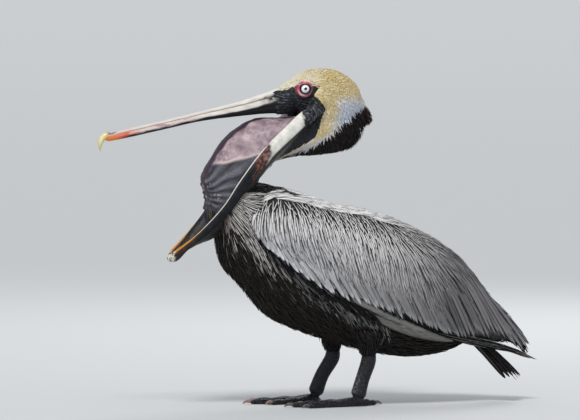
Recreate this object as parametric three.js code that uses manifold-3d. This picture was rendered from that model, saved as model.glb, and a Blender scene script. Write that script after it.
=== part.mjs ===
// A life-size brown pelican standing on both feet, with its head thrown back, its bill wide open and
// its throat pouch turned up over the neck. Millimetres, +Z up. The bird faces -X and its left side
// is at -Y. The origin is on the floor, under the middle of its length.
import * as THREE from "three";
import { ParametricGeometry } from "three/addons/geometries/ParametricGeometry.js";
import { mergeVertices } from "three/addons/utils/BufferGeometryUtils.js";
import Module from "manifold-3d";

const wasm = await Module();
wasm.setup();

// ---- Driving sizes ----

const reach = 367.5; // from the origin to the wing tips
const gap = 0.35; // clearance between touching pieces
const eyeRadius = 8.6;
const eyeCentre = new THREE.Vector3(-27, 23, 506);
const jawHinge = new THREE.Vector3(-9, 0, 477.5); // where the two bills part, on the midline
const lowerBillTip = new THREE.Vector3(-245, 0, 239);
const featherEdge = 1.0; // thickness of a wing's rim
const liningRise = 2.2; // how far the wing's lining stands off the trunk
const wingRest = 1.4; // how far a folded wing lies off the body
const covertDepth = 9;
const flightDepth = 3.2;
const webDepth = 2.6;
const toeHeight = 14;
const soleLevel = 0;

// Stations of the feathered body: [x, centre height, half depth, half width].
const trunkStations = [
  [-168, 275, 38, 36],
  [-147, 267, 57, 50],
  [-121, 256, 72.5, 62],
  [-84, 245, 102.5, 83],
  [-38, 228.5, 110, 97],
  [20, 209.5, 110, 101],
  [80, 195.5, 113.5, 97],
  [140, 180.5, 108, 84],
  [200, 164, 88, 64],
  [245, 148, 57, 42],
  [284, 134, 26, 24],
];

// The surface that the folded wings lie on: the trunk's, and past it the rump and the wing tips.
const liningStations = [
  ...trunkStations.slice(1, 8).map(([x, z, depth, width]) => [x, z, depth + liningRise, width + liningRise]),
  [200, 168, 91, 66],
  [245, 152, 73, 46],
  [290, 123, 46, 26],
  [330, 103, 25, 16],
  [reach, 68, 8, 10],
];

// Stations of a folded wing: [x, lower edge, upper edge], edges as angles round the body in degrees.
const covertStations = [
  [-136, 34, 52],
  [-101, -4, 82],
  [-60, -13, 87],
  [-9, -19, 88],
  [76, -32, 88],
  [130, -38, 88],
  [188, -44, 88],
  [245, -46, 86],
  [300, -36, 82],
  [354, -10, 40],
];
const secondaryStations = [
  [-20, -26, 4],
  [40, -36, 0],
  [113, -46, -6],
  [188, -52, -12],
  [240, -58, -20],
];
const primaryStations = [
  [206, -58, -28],
  [260, -60, -26],
  [310, -62, -16],
  [reach, -80, 80],
];

// Stations of the neck: [x, z, half depth, half width].
const neckStations = [
  [-62, 262, 89, 74],
  [-112, 302, 68, 57],
  [-141, 345, 45, 38],
  [-134, 387, 38, 30],
  [-98, 414.5, 34, 29],
  [-48, 427, 31, 28],
  [-4, 438, 39, 29],
  [36, 449, 41.5, 28],
  [70, 462, 21, 20],
];
const neckSplit = 0.44; // share of the neck's length below the upper piece

// Stations of the head: [x, z, half height above, half depth below, half width].
const headStations = [
  [-62, 492.5, 16, 20, 18],
  [-38, 497.5, 26, 30, 25],
  [-12, 499.5, 39, 42, 29],
  [15, 493.5, 46, 56, 31],
  [40, 484.5, 42, 68, 30],
  [60, 473.5, 30, 48, 25],
  [88, 458.5, 16, 20, 13],
];

// Stations of the upper bill: [x, z, half height, half width].
const upperBillStations = [
  [-42, 490, 20, 21],
  [-61, 485.5, 21.5, 21],
  [-88, 481, 17.5, 19],
  [-129, 473.5, 12.5, 17.5],
  [-196, 462, 8, 15.5],
  [-263, 447.5, 7.2, 16],
  [-317, 436, 7, 16.5],
  [-341, 431, 6.2, 13.5],
  [-354, 429.5, 4.4, 8],
];
const nailStations = [
  [-338, 435, 4.6, 6],
  [-350.5, 433.5, 5.4, 6.2],
  [-358, 426, 4.8, 5.4],
  [-360, 417, 3, 3.6],
  [-359, 408.5, 1, 1.2],
];

// Stations of the lower bill's left branch: [x, y, z, half height, half thickness].
const branchStations = [
  [-14, -34, 472.5, 8, 4.5],
  [-32, -38.5, 460.47, 11, 6],
  [-58, -43, 438.43, 11, 5.5],
  [-97, -46.5, 403.36, 10.5, 4.8],
  [-135, -46.5, 357.26, 9, 4.2],
  [-163, -42, 317.17, 7.5, 3.8],
  [-198, -31, 279.09, 6, 3.6],
  [-224, -18.5, 256.05, 5.6, 4.2],
  [-246, -5.5, 234, 10, 5.6],
];

// Stations of the pouch, along the lower bill from the jaw: [distance, height of the dome over the
// bill's line, depth below it, half width].
const pouchStations = [
  [26, 8, 10, 30],
  [45, 21, 14, 38],
  [75, 51, 16, 42],
  [105, 64, 14, 43],
  [140, 68, 15, 43],
  [175, 62, 21, 42],
  [205, 53, 26, 39],
  [222, 28, 29, 36],
  [240, 7, 33, 33],
  [266, 3, 29, 27],
  [290, 2, 18, 19],
  [322, 2, 8, 7],
];
// The open trough in front of the dome: [distance, height, depth, half width].
const troughStations = [
  [240, 16, 12, 22],
  [262, 14, 17, 23.5],
  [286, 12, 13, 17],
  [318, 10, 4, 5],
];

// Legs and feet. A foot's toes are [length, turn outward in degrees] about its ankle, and each leg
// gives its own hind toe.
const legs = {
  left: {
    side: -1,
    thigh: [70, -50, 128],
    heel: [72, -45, 70],
    mid: [62, -45.5, 42],
    ankle: [53, -47, 12],
    hindToe: [38, 200],
  },
  right: {
    side: 1,
    thigh: [44, 50, 134],
    heel: [41, 45, 72],
    mid: [24, 45.5, 44],
    ankle: [12, 47, 12],
    hindToe: [32, 272],
  },
};
const thighRadius = 34;
const thighOverHeel = 10; // the thigh feathers end this far above the heel joint
const heelRadius = 11.6;
const shankRadius = 10.6;
const ankleRadius = 11.6;
const frontToes = [
  [88, -20],
  [110, -1],
  [97, 18],
];
const toeRadius = 5.6;
const clawLength = 12;
const heelPadReach = 13;
const webBay = 0.13; // how far a web's edge bows in between two toes

// The tail widens from root to tip, and thins.
const tailRoot = new THREE.Vector3(236, 0, 130);
const tailTip = new THREE.Vector3(343, 0, 42);
const tailRootHalf = 20;
const tailTipHalf = 31;
const tailArch = 8; // how far its sides drop
const tailRounding = 0.12; // how much shorter the outer feathers are
const tailDepth = 5;
const tailTaper = 0.6;

// ---- Shape helpers ----

// A value at t from 0 to 1 through evenly spaced table entries, smooth at each of them.
function smoothAt(values, t) {
  const last = values.length - 1;
  const place = Math.min(Math.max(t, 0), 1) * last;
  const i = Math.min(Math.floor(place), last - 1);
  const [a, b, c, d] = [i - 1, i, i + 1, i + 2].map((k) => values[Math.min(Math.max(k, 0), last)]);
  const f = place - i;
  const slopeB = i > 0 ? (c - a) / 2 : c - b;
  const slopeC = i + 2 <= last ? (d - b) / 2 : c - b;
  const f2 = f * f;
  const f3 = f2 * f;
  return (2 * f3 - 3 * f2 + 1) * b + (f3 - 2 * f2 + f) * slopeB + (3 * f2 - 2 * f3) * c + (f3 - f2) * slopeC;
}

// All columns of a table of stations at t.
function stationAt(stations, t) {
  return stations[0].map((_, column) => smoothAt(stations.map((s) => s[column]), t));
}

// The station at a given x, for tables whose first column only grows.
function stationAtX(stations, x) {
  let low = 0;
  let high = 1;
  for (let i = 0; i < 30; i++) {
    const middle = (low + high) / 2;
    if (stationAt(stations, middle)[0] < x) low = middle;
    else high = middle;
  }
  return stationAt(stations, low);
}

// Round ends: 0 at both ends of a loft, 1 between them.
function endRounding(t, nose, tail) {
  const near = Math.min(t / nose, (1 - t) / tail, 1);
  return Math.sqrt(Math.max(0, 1 - (1 - near) ** 2));
}

// A closed mesh from a grid of points, as a solid. at(around, along, target) sets a point.
function solidFromGrid(at, around, along) {
  const grid = new ParametricGeometry((u, v, target) => at(u % 1, v, target), around, along);
  grid.deleteAttribute("normal");
  grid.deleteAttribute("uv");
  return solidFromGeometry(grid);
}

function solidFromGeometry(geometry) {
  const bare = geometry.clone();
  for (const name of ["normal", "uv"]) bare.deleteAttribute(name);
  const merged = mergeVertices(bare, 1e-3);
  const index = [...merged.index.array];
  const kept = [];
  for (let i = 0; i < index.length; i += 3) {
    const [a, b, c] = index.slice(i, i + 3);
    if (a !== b && b !== c && a !== c) kept.push(a, b, c);
  }
  const build = (triangles) =>
    new wasm.Manifold(
      new wasm.Mesh({
        numProp: 3,
        vertProperties: new Float32Array(merged.attributes.position.array),
        triVerts: new Uint32Array(triangles),
      }),
    );
  const made = build(kept);
  return made.volume() > 0 ? made : build(kept.reverse());
}

// Keeps the biggest body of a cut solid, without the slivers that a cut can leave.
function biggest(solid) {
  return solid.decompose().reduce((a, b) => (a.volume() > b.volume() ? a : b));
}

function without(solid, ...cutters) {
  return biggest(cutters.reduce((left, cutter) => left.subtract(cutter), solid));
}

function mirrored(at) {
  return (u, v, target) => {
    at(u, v, target);
    target.y = -target.y;
  };
}

// A loft along the midline. Each station is {centre, up, down, side}. Sections stand across the path,
// or upright.
function midlineLoft(station, { around, along, nose, tail, upright = false, grow = 0 }) {
  const step = 1e-3;
  return solidFromGrid(
    (u, v, target) => {
      const t = (1 - Math.cos(Math.PI * v)) / 2;
      const here = station(t);
      const before = station(Math.max(t - step, 0)).centre;
      const tangent = station(Math.min(t + step, 1)).centre.clone().sub(before).normalize();
      if (upright) tangent.set(1, 0, 0);
      const rise = new THREE.Vector3(-tangent.z, 0, tangent.x).multiplyScalar(Math.sign(tangent.x) || 1);
      if (here.flip) rise.negate();
      const angle = 2 * Math.PI * u;
      const round = endRounding(t, nose, tail);
      const height = Math.sin(angle) > 0 ? here.up : here.down;
      const lift = Math.sin(angle) * (height * round + (round > 0 ? grow : 0));
      target.copy(here.centre).addScaledVector(rise, lift);
      target.y += Math.cos(angle) * (here.side * round + (round > 0 ? grow : 0));
      if (grow) target.addScaledVector(tangent, v === 0 ? -grow : v === 1 ? grow : 0);
    },
    around,
    along,
  );
}

// ---- The pieces' raw forms. grow swells a form, to cut room for it out of its neighbours ----

function trunkForm(grow = 0) {
  const station = (t) => {
    const [x, z, depth, width] = stationAt(trunkStations, t);
    return { centre: new THREE.Vector3(x, 0, z), up: depth, down: depth, side: width };
  };
  return midlineLoft(station, { around: 20, along: 15, nose: 0.1, tail: 0.12, upright: true, grow });
}

function neckForm(grow = 0) {
  const station = (t) => {
    const [x, z, depth, width] = stationAt(neckStations, t);
    return { centre: new THREE.Vector3(x, 0, z), up: depth, down: depth, side: width };
  };
  const step = 1e-3;
  return solidFromGrid(
    (u, v, target) => {
      const here = station(v);
      const ahead = station(Math.min(v + step, 1)).centre;
      const tangent = ahead.sub(station(Math.max(v - step, 0)).centre).normalize();
      const front = new THREE.Vector3(tangent.z, 0, -tangent.x);
      const angle = 2 * Math.PI * u;
      const round = endRounding(v, 0.06, 0.06);
      target.copy(here.centre).addScaledVector(front, Math.sin(angle) * (here.up * round + grow));
      target.y += Math.cos(angle) * (here.side * round + grow);
      if (round === 0) target.copy(here.centre);
    },
    16,
    14,
  );
}

function headForm(grow = 0) {
  const station = (t) => {
    const [x, z, up, down, width] = stationAt(headStations, t);
    return { centre: new THREE.Vector3(x, 0, z), up, down, side: width };
  };
  return midlineLoft(station, { around: 18, along: 13, nose: 0.1, tail: 0.26, grow });
}

function upperBillForm(grow = 0) {
  const station = (t) => {
    const [x, z, height, width] = stationAt(upperBillStations, t);
    return { centre: new THREE.Vector3(x, 0, z), up: height, down: height, side: width };
  };
  return midlineLoft(station, { around: 14, along: 16, nose: 0.04, tail: 0.1, grow });
}

function nailForm(grow = 0) {
  const path = new THREE.CatmullRomCurve3(nailStations.map(([x, z]) => new THREE.Vector3(x, 0, z)));
  return solidFromGrid(
    (u, v, target) => {
      const [, , height, width] = stationAt(nailStations, v);
      const tangent = path.getTangent(v);
      const out = new THREE.Vector3(tangent.z, 0, -tangent.x);
      const angle = 2 * Math.PI * u;
      const round = v === 0 || v === 1 ? 0 : endRounding(v, 0.25, 0.3);
      const swell = round > 0 ? grow : 0;
      target.copy(path.getPoint(v)).addScaledVector(out, Math.sin(angle) * (height * round + swell));
      target.y += Math.cos(angle) * (width * round + swell);
    },
    10,
    8,
  );
}

// One branch of the lower bill; side is -1 for the left one.
function branchForm(side, grow = 0) {
  const path = new THREE.CatmullRomCurve3(branchStations.map(([x, y, z]) => new THREE.Vector3(x, y, z)));
  const at = (u, v, target) => {
    const [, , , height, thickness] = stationAt(branchStations, v);
    const tangent = path.getTangent(v);
    const outward = new THREE.Vector3(0, -1, 0).addScaledVector(tangent, tangent.y).normalize();
    const rise = new THREE.Vector3().crossVectors(outward, tangent);
    const angle = 2 * Math.PI * u;
    const round = endRounding(v, 0.05, 0.04);
    const swell = round > 0 ? grow : 0;
    target.copy(path.getPoint(v));
    target.addScaledVector(rise, Math.sin(angle) * (height * round + swell));
    target.addScaledVector(outward, Math.cos(angle) * (thickness * round + swell));
  };
  return solidFromGrid(side < 0 ? at : mirrored(at), 10, 15);
}

// Along and across the lower bill, for the pouch.
const billAlong = lowerBillTip.clone().sub(jawHinge).normalize();
const billRise = new THREE.Vector3(billAlong.z, 0, -billAlong.x);

function pouchLoft(stations, around, along, nose, tail, grow = 0) {
  return solidFromGrid(
    (u, v, target) => {
      const t = (1 - Math.cos(Math.PI * v)) / 2;
      const [distance, up, down, width] = stationAt(stations, t);
      const angle = 2 * Math.PI * u;
      const round = endRounding(t, nose, tail);
      const height = Math.sin(angle) > 0 ? up : down;
      target.copy(jawHinge).addScaledVector(billAlong, distance);
      target.addScaledVector(billRise, Math.sin(angle) * (height + grow) * round);
      target.y += Math.cos(angle) * (width + grow) * round;
    },
    around,
    along,
  );
}

// A folded wing's layer on the lining: stations are [x, lower edge, upper edge], side is -1 or 1. The
// rim's points stay at mid thickness and only spread when it grows, so its facets keep their slope.
function wingForm(stations, depth, side, { across, along, nose, tail, grow = 0 }) {
  const margin = 3 * grow; // at the rim, which slopes
  const at = (u, v, target) => {
    const t = (1 - Math.cos(Math.PI * v)) / 2;
    const [x, lowEdge, topEdge] = stationAt(stations, t);
    const [, centreZ, halfDepth, halfWidth] = stationAtX(liningStations, x);
    const round = endRounding(t, nose, tail);
    const outer = u < 0.5;
    const share = outer ? 2 * u : 2 - 2 * u;
    const middle = (lowEdge + topEdge) / 2;
    const atRim = share === 0 || share === 1;
    const spread = atRim && round > 0 ? (share === 1 ? margin : -margin) / halfDepth : 0;
    const angle = THREE.MathUtils.degToRad(middle + (topEdge - lowEdge) * (share - 0.5) * round) + spread;
    const edge = Math.sin(Math.PI * share) ** 0.6; // a full, rounded section
    const thickness = (featherEdge + (depth - featherEdge) * edge) * round;
    const offset = wingRest + (atRim ? thickness / 2 : outer ? thickness + grow : -grow);
    const ends = v === 0 ? -margin : v === 1 ? margin : 0;
    const outward = halfWidth + offset;
    target.set(x + ends, -outward * Math.cos(angle), centreZ + (halfDepth + offset) * Math.sin(angle));
  };
  return solidFromGrid(side < 0 ? at : mirrored(at), across * 2, along);
}

// A straight tapered limb through points, as [x, y, z], with a radius at each.
function limbForm(points, radii, { around = 10, along = 8, nose = 0.12, tail = 0.12, grow = 0 } = {}) {
  const path = new THREE.CatmullRomCurve3(points.map((p) => new THREE.Vector3(...p)));
  const frames = path.computeFrenetFrames(along, false);
  return solidFromGrid(
    (u, v, target) => {
      const i = Math.round(v * along);
      const angle = 2 * Math.PI * u;
      const round = endRounding(v, nose, tail);
      const radius = smoothAt(radii, v) * round + (round > 0 ? grow : 0);
      target.copy(path.getPoint(v));
      target.addScaledVector(frames.normals[i], Math.cos(angle) * radius);
      target.addScaledVector(frames.binormals[i], Math.sin(angle) * radius);
    },
    around,
    along,
  );
}

function thighForm({ thigh, heel }, grow = 0) {
  const cuff = [heel[0], heel[1], heel[2] + thighOverHeel];
  const middle = thigh.map((value, axis) => (value + cuff[axis]) / 2);
  const radii = [thighRadius, thighRadius * 0.62, heelRadius + 1.5];
  return limbForm([thigh, middle, cuff], radii, { around: 12, grow, nose: 0.3 });
}

function shankForm({ heel, mid, ankle }, grow = 0) {
  const top = [heel[0] + 1, heel[1], heel[2] + 16];
  const radii = [heelRadius, heelRadius, shankRadius, ankleRadius];
  return limbForm([top, heel, mid, ankle], radii, { along: 9, grow, nose: 0.15, tail: 0.1 });
}

// Where a toe points: its turn is outward for either foot, and forward is -X.
function toeDirection(side, turn) {
  const angle = THREE.MathUtils.degToRad(turn);
  return new THREE.Vector3(-Math.cos(angle), side * Math.sin(angle), 0);
}

// The web: a scalloped plate between the toe tips.
function webForm({ side, ankle, hindToe }) {
  const centre = new THREE.Vector2(ankle[0], ankle[1]);
  const tips = [hindToe, ...frontToes].map(([length, turn]) => {
    const way = toeDirection(side, turn);
    return centre.clone().add(new THREE.Vector2(way.x, way.y).multiplyScalar(length * 0.95));
  });
  const heelPad = centre.clone().add(new THREE.Vector2(heelPadReach, side * heelPadReach * 0.6));
  const outline = new THREE.Shape().moveTo(tips[0].x, tips[0].y);
  for (let i = 1; i < tips.length; i++) {
    const middle = tips[i - 1].clone().add(tips[i]).multiplyScalar(0.5).lerp(centre, webBay);
    outline.quadraticCurveTo(middle.x, middle.y, tips[i].x, tips[i].y);
  }
  outline.lineTo(heelPad.x, heelPad.y);
  outline.closePath();
  const settings = { depth: webDepth, bevelEnabled: false, curveSegments: 3 };
  const plate = new THREE.ExtrudeGeometry(outline, settings);
  plate.translate(0, 0, soleLevel);
  return solidFromGeometry(plate);
}

function toeForm({ side, ankle }, length, turn) {
  const way = toeDirection(side, turn);
  const along = (share, height) => [
    ankle[0] + way.x * length * share,
    ankle[1] + way.y * length * share,
    soleLevel + height,
  ];
  const points = [along(-0.08, toeHeight * 0.6), along(0.35, 5.2), along(0.7, 4.2), along(1, 3.6)];
  const radii = [toeRadius * 1.6, toeRadius * 1.15, toeRadius * 0.8, toeRadius * 0.62];
  const toe = limbForm(points, radii, { around: 7, along: 5, nose: 0.2 });
  const reachOf = 1 + clawLength / length;
  const claw = [along(0.94, 4.4), along((0.97 + reachOf) / 2, 5), along(reachOf, 1.2)];
  return toe.add(limbForm(claw, [2.8, 2.2, 0.7], { around: 5, along: 3, nose: 0.4 }));
}

// A foot with its toes joined by webs, cut flat at the floor.
function footForm(leg) {
  const floorBlock = new THREE.BoxGeometry(400, 400, 40).translate(leg.ankle[0], leg.ankle[1], soleLevel - 20);
  const toes = [leg.hindToe, ...frontToes];
  const joined = toes.reduce((made, [length, turn]) => made.add(toeForm(leg, length, turn)), webForm(leg));
  return biggest(joined.subtract(solidFromGeometry(floorBlock)));
}

// The tail: an arched fan, thin at its rim.
function tailForm(grow = 0) {
  const fan = tailTip.clone().sub(tailRoot);
  const normal = new THREE.Vector3(-fan.z, 0, fan.x).normalize();
  return solidFromGrid(
    (u, v, target) => {
      const outer = u < 0.5;
      const across = (outer ? 4 * u - 1 : 3 - 4 * u) * endRounding(v, 0.001, 0.12);
      const half = THREE.MathUtils.lerp(tailRootHalf, tailTipHalf, v);
      const pull = 1 - tailRounding * across * across;
      const inside = v > 0 && v < 1 ? 1 : 0;
      const depth = (tailDepth * (1 - tailTaper * v) * (1 - across ** 4) + featherEdge + 2 * grow) * inside;
      const ends = v === 0 ? -grow : v === 1 ? grow : 0;
      target.copy(tailRoot).addScaledVector(fan, v * pull + ends / fan.length());
      const lift = Math.abs(across) === 1 ? 0 : outer ? depth / 2 : -depth / 2;
      target.addScaledVector(normal, -tailArch * across * across * v + lift);
      target.y = across * (half + 2 * grow) * (v > 0 ? 1 : 0);
    },
    20,
    6,
  );
}

// ---- Cutting the forms against each other ----

function eyeSolid(side, grow = 0) {
  const ball = new THREE.SphereGeometry(eyeRadius + grow, 12, 7);
  return solidFromGeometry(ball.translate(eyeCentre.x, side * eyeCentre.y, eyeCentre.z));
}

// A box that holds the half of the neck above or below its split.
function neckHalf(upper) {
  const [x, z] = stationAt(neckStations, neckSplit);
  const step = 1e-3;
  const [x0, z0] = stationAt(neckStations, neckSplit - step);
  const [x1, z1] = stationAt(neckStations, neckSplit + step);
  const tilt = Math.atan2(x1 - x0, z1 - z0);
  const size = 400;
  const block = new THREE.BoxGeometry(size, size, size);
  block.translate(0, 0, (upper ? 1 : -1) * (size / 2 + gap / 2));
  block.rotateY(tilt).translate(x, 0, z);
  return solidFromGeometry(block);
}

function buildSolids() {
  const sides = { left: -1, right: 1 };
  const solids = {};
  const nail = nailForm();
  const upperBill = without(upperBillForm(), nailForm(gap));
  const headRoom = headForm(gap);
  const trunkRoom = trunkForm(gap);
  const neckRoom = neckForm(gap);
  solids.trunk = trunkForm();
  solids.bill_nail = nail;
  solids.upper_bill = upperBill;
  solids.head = without(headForm(), upperBillForm(gap), eyeSolid(-1, gap), eyeSolid(1, gap));
  const neck = neckForm();
  solids.neck_lower = without(neck.intersect(neckHalf(false)), trunkRoom);
  solids.neck_upper = without(neck.intersect(neckHalf(true)), headRoom, trunkRoom, upperBillForm(gap));
  const pouch = pouchLoft(pouchStations, 13, 13, 0.05, 0.05);
  const trough = pouchLoft(troughStations, 12, 7, 0.2, 0.3);
  const rooms = [headRoom, neckForm(2 * gap), trunkRoom, upperBillForm(gap), trough];
  for (const [name, side] of Object.entries(sides)) {
    const branch = branchForm(side);
    const middleWall = new THREE.BoxGeometry(800, 100, 900).translate(0, -side * (50 - gap / 2), 300);
    const wall = solidFromGeometry(middleWall);
    solids[`lower_bill_${name}`] = without(branch, headRoom, wall, neckRoom, trunkRoom);
    rooms.push(branchForm(side, gap));
    solids[`eye_${name}`] = eyeSolid(side);
  }
  solids.pouch = without(pouch, ...rooms);
  addWings(solids, sides, trunkRoom, neckRoom);
  addLegs(solids, trunkRoom);
  return solids;
}

function addWings(solids, sides, trunkRoom, neckRoom) {
  const tailRoom = tailForm(3 * gap); // its arch slopes, so a wider margin keeps the gap there
  solids.tail = without(tailForm(), trunkRoom);
  for (const [name, side] of Object.entries(sides)) {
    const middleWall = new THREE.BoxGeometry(900, 100, 900).translate(0, -side * (50 - gap), 300);
    const wall = solidFromGeometry(middleWall);
    const secondary = (grow) =>
      wingForm(secondaryStations, flightDepth, side, { across: 4, along: 8, nose: 0.2, tail: 0.2, grow });
    const primary = (grow) =>
      wingForm(primaryStations, flightDepth, side, { across: 4, along: 7, nose: 0.3, tail: 0.14, grow });
    const covertShape = { across: 7, along: 11, nose: 0.14, tail: 0.1 };
    const covert = wingForm(covertStations, covertDepth, side, covertShape);
    const bodyRooms = [trunkRoom, neckRoom, tailRoom, wall];
    const layersBelow = [secondary(2 * gap), primary(2 * gap)];
    solids[`wing_${name}_coverts`] = without(covert, ...bodyRooms, ...layersBelow);
    solids[`wing_${name}_secondaries`] = without(secondary(0), ...bodyRooms);
    solids[`wing_${name}_primaries`] = without(primary(0), ...bodyRooms, secondary(gap));
  }
}

function addLegs(solids, trunkRoom) {
  for (const [name, leg] of Object.entries(legs)) {
    const foot = footForm(leg);
    solids[`foot_${name}`] = foot;
    const footRoom = foot.translate(0, 0, gap).add(foot);
    solids[`thigh_${name}`] = without(thighForm(leg), trunkRoom);
    solids[`shank_${name}`] = without(shankForm(leg), thighForm(leg, gap), trunkRoom, footRoom);
  }
}

// ---- Finishes ----

const finishes = {
  blackSkin: { color: 0x23252b, roughness: 0.5 },
  darkPlumage: { color: 0x2b2522, roughness: 0.85 },
  palePlumage: { color: 0xd9c98f, roughness: 0.85 },
  silverPlumage: { color: 0x9c9aa0, roughness: 0.7 },
  flightPlumage: { color: 0x6b6762, roughness: 0.7 },
  tailPlumage: { color: 0x1d1b1c, roughness: 0.75 },
  billHorn: { color: 0xcfc9bb, roughness: 0.45 },
  nailHorn: { color: 0xd8cf86, roughness: 0.4 },
  pouchSkin: { color: 0x8a7880, roughness: 0.55 },
  eye: { color: 0xe8ecee, roughness: 0.08 },
};

const finishOf = [
  [/^trunk|^neck|^thigh/, "darkPlumage"],
  [/^head/, "palePlumage"],
  [/coverts/, "silverPlumage"],
  [/secondaries|primaries/, "flightPlumage"],
  [/^tail/, "tailPlumage"],
  [/^shank|^foot/, "blackSkin"],
  [/^eye/, "eye"],
  [/^pouch/, "pouchSkin"],
  [/nail/, "nailHorn"],
  [/bill/, "billHorn"],
];

function geometryOf(solid) {
  const mesh = solid.getMesh();
  const geometry = new THREE.BufferGeometry();
  const position = new Float32Array(mesh.numVert * 3);
  for (let i = 0; i < mesh.numVert; i++) {
    position.set(mesh.vertProperties.subarray(i * mesh.numProp, i * mesh.numProp + 3), i * 3);
  }
  geometry.setAttribute("position", new THREE.BufferAttribute(position, 3));
  geometry.setIndex(new THREE.BufferAttribute(new Uint32Array(mesh.triVerts), 1));
  geometry.computeVertexNormals();
  return geometry;
}

const pelican = new THREE.Group();
pelican.name = "brown_pelican";
for (const [name, solid] of Object.entries(buildSolids())) {
  const finish = finishOf.find(([pattern]) => pattern.test(name))[1];
  const material = new THREE.MeshStandardMaterial({ ...finishes[finish], metalness: 0 });
  const mesh = new THREE.Mesh(geometryOf(solid), material);
  mesh.name = name;
  pelican.add(mesh);
}

export default pelican;
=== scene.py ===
import math

import bmesh
import bpy
import numpy as np
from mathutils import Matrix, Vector
from mathutils.bvhtree import BVHTree


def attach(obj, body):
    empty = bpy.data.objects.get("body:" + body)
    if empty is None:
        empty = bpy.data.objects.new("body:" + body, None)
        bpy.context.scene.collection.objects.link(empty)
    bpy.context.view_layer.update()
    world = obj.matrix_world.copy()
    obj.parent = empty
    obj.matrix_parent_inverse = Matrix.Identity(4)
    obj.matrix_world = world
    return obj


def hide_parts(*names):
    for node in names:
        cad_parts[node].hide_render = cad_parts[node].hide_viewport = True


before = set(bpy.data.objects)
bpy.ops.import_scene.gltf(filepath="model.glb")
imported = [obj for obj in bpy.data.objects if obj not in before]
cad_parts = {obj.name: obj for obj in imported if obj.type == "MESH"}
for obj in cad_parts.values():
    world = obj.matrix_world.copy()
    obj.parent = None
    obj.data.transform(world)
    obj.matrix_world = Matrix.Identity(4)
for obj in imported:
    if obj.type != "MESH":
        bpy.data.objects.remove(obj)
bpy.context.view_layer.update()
dice = np.random.default_rng(11)
mm = 0.001    # tables are in millimetres, meshes in metres

# camera and light

shot = {
    "azimuth": -18.0,    # degrees round from the bird's left side, towards its bill
    "elevation": 2.0,
    "distance": 9.0,
    "lens": 349.0,
    "aimAcross": -0.0424,    # where the middle of the picture lies, from the origin
    "aimUp": 0.312,
}


def makeCamera():
    turn, rise = math.radians(shot["azimuth"]), math.radians(shot["elevation"])
    ahead = Vector((-math.sin(turn) * math.cos(rise), math.cos(turn) * math.cos(rise), -math.sin(rise)))
    across = Vector((math.cos(turn), math.sin(turn), 0))
    up = across.cross(ahead)
    aim = across * shot["aimAcross"] + up * shot["aimUp"]
    data = bpy.data.cameras.new("camera")
    data.lens = shot["lens"]
    data.clip_end = 300
    camera = bpy.data.objects.new("camera", data)
    camera.location = aim - ahead * shot["distance"]
    camera.rotation_mode = "QUATERNION"
    camera.rotation_quaternion = ahead.to_track_quat("-Z", "Y")
    bpy.context.scene.collection.objects.link(camera)
    bpy.context.scene.camera = camera


studio = {
    "sun": {"from": (-0.42, -0.78, 1.25), "softness": 16.0, "power": 1.9, "colour": (1.0, 0.97, 0.92)},
    "fill": {"place": (-2.4, -2.6, 0.9), "size": 2.2, "power": 26.0, "colour": (0.9, 0.95, 1.0)},
    "back": {"place": (1.8, 2.2, 2.2), "size": 1.4, "power": 30.0, "colour": (1.0, 0.98, 0.95)},
    "aim": (0.0, 0.0, 0.28),
    "skyColour": (0.70, 0.75, 0.80),
    "skyPower": 0.6,
    "floorColour": (0.60, 0.615, 0.63),
    "floorRings": [(22, 0), (26, 0.25), (30, 1.0), (34, 2.3), (38, 4.2), (41, 6.6), (43, 9.5)],    # radius, height
}


def addLamp(name, kind, values, direction):
    data = bpy.data.lights.new(name, kind)
    data.energy = values["power"]
    data.color = values["colour"]
    lamp = bpy.data.objects.new(name, data)
    lamp.rotation_mode = "QUATERNION"
    lamp.rotation_quaternion = direction.to_track_quat("-Z", "Y")
    bpy.context.scene.collection.objects.link(lamp)
    return lamp


def makeStudio():
    sun = addLamp("sun", "SUN", studio["sun"], -Vector(studio["sun"]["from"]))
    sun.data.angle = math.radians(studio["sun"]["softness"])
    for name in ("fill", "back"):
        place = Vector(studio[name]["place"])
        lamp = addLamp(name, "AREA", studio[name], Vector(studio["aim"]) - place)
        lamp.data.size = studio[name]["size"]
        lamp.location = place
    world = bpy.data.worlds.new("sky")
    world.use_nodes = True
    sky = world.node_tree.nodes["Background"]
    sky.inputs["Color"].default_value = (*studio["skyColour"], 1)
    sky.inputs["Strength"].default_value = studio["skyPower"]
    bpy.context.scene.world = world
    bpy.context.scene.view_settings.view_transform = "Standard"
    turns = np.arange(96) * 2 * math.pi / 96
    rings = [(r * math.cos(t), r * math.sin(t), z) for r, z in studio["floorRings"] for t in turns]
    faces = [list(range(96))]
    for ring in range(len(studio["floorRings"]) - 1):
        for k in range(96):
            after = (k + 1) % 96
            faces.append([ring * 96 + k, (ring + 1) * 96 + k, (ring + 1) * 96 + after, ring * 96 + after])
    mesh = bpy.data.meshes.new("floor")
    mesh.from_pydata(rings, [], faces)
    mesh.shade_smooth()
    floor = bpy.data.objects.new("floor", mesh)
    bpy.context.scene.collection.objects.link(floor)
    paint = bpy.data.materials.new("floorPaint")
    paint.use_nodes = True
    paint.node_tree.nodes["Principled BSDF"].inputs["Base Color"].default_value = (*studio["floorColour"], 1)
    paint.node_tree.nodes["Principled BSDF"].inputs["Roughness"].default_value = 0.9
    mesh.materials.append(paint)


makeCamera()
makeStudio()
print("camera and studio ready")

# the bird's measures

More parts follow.
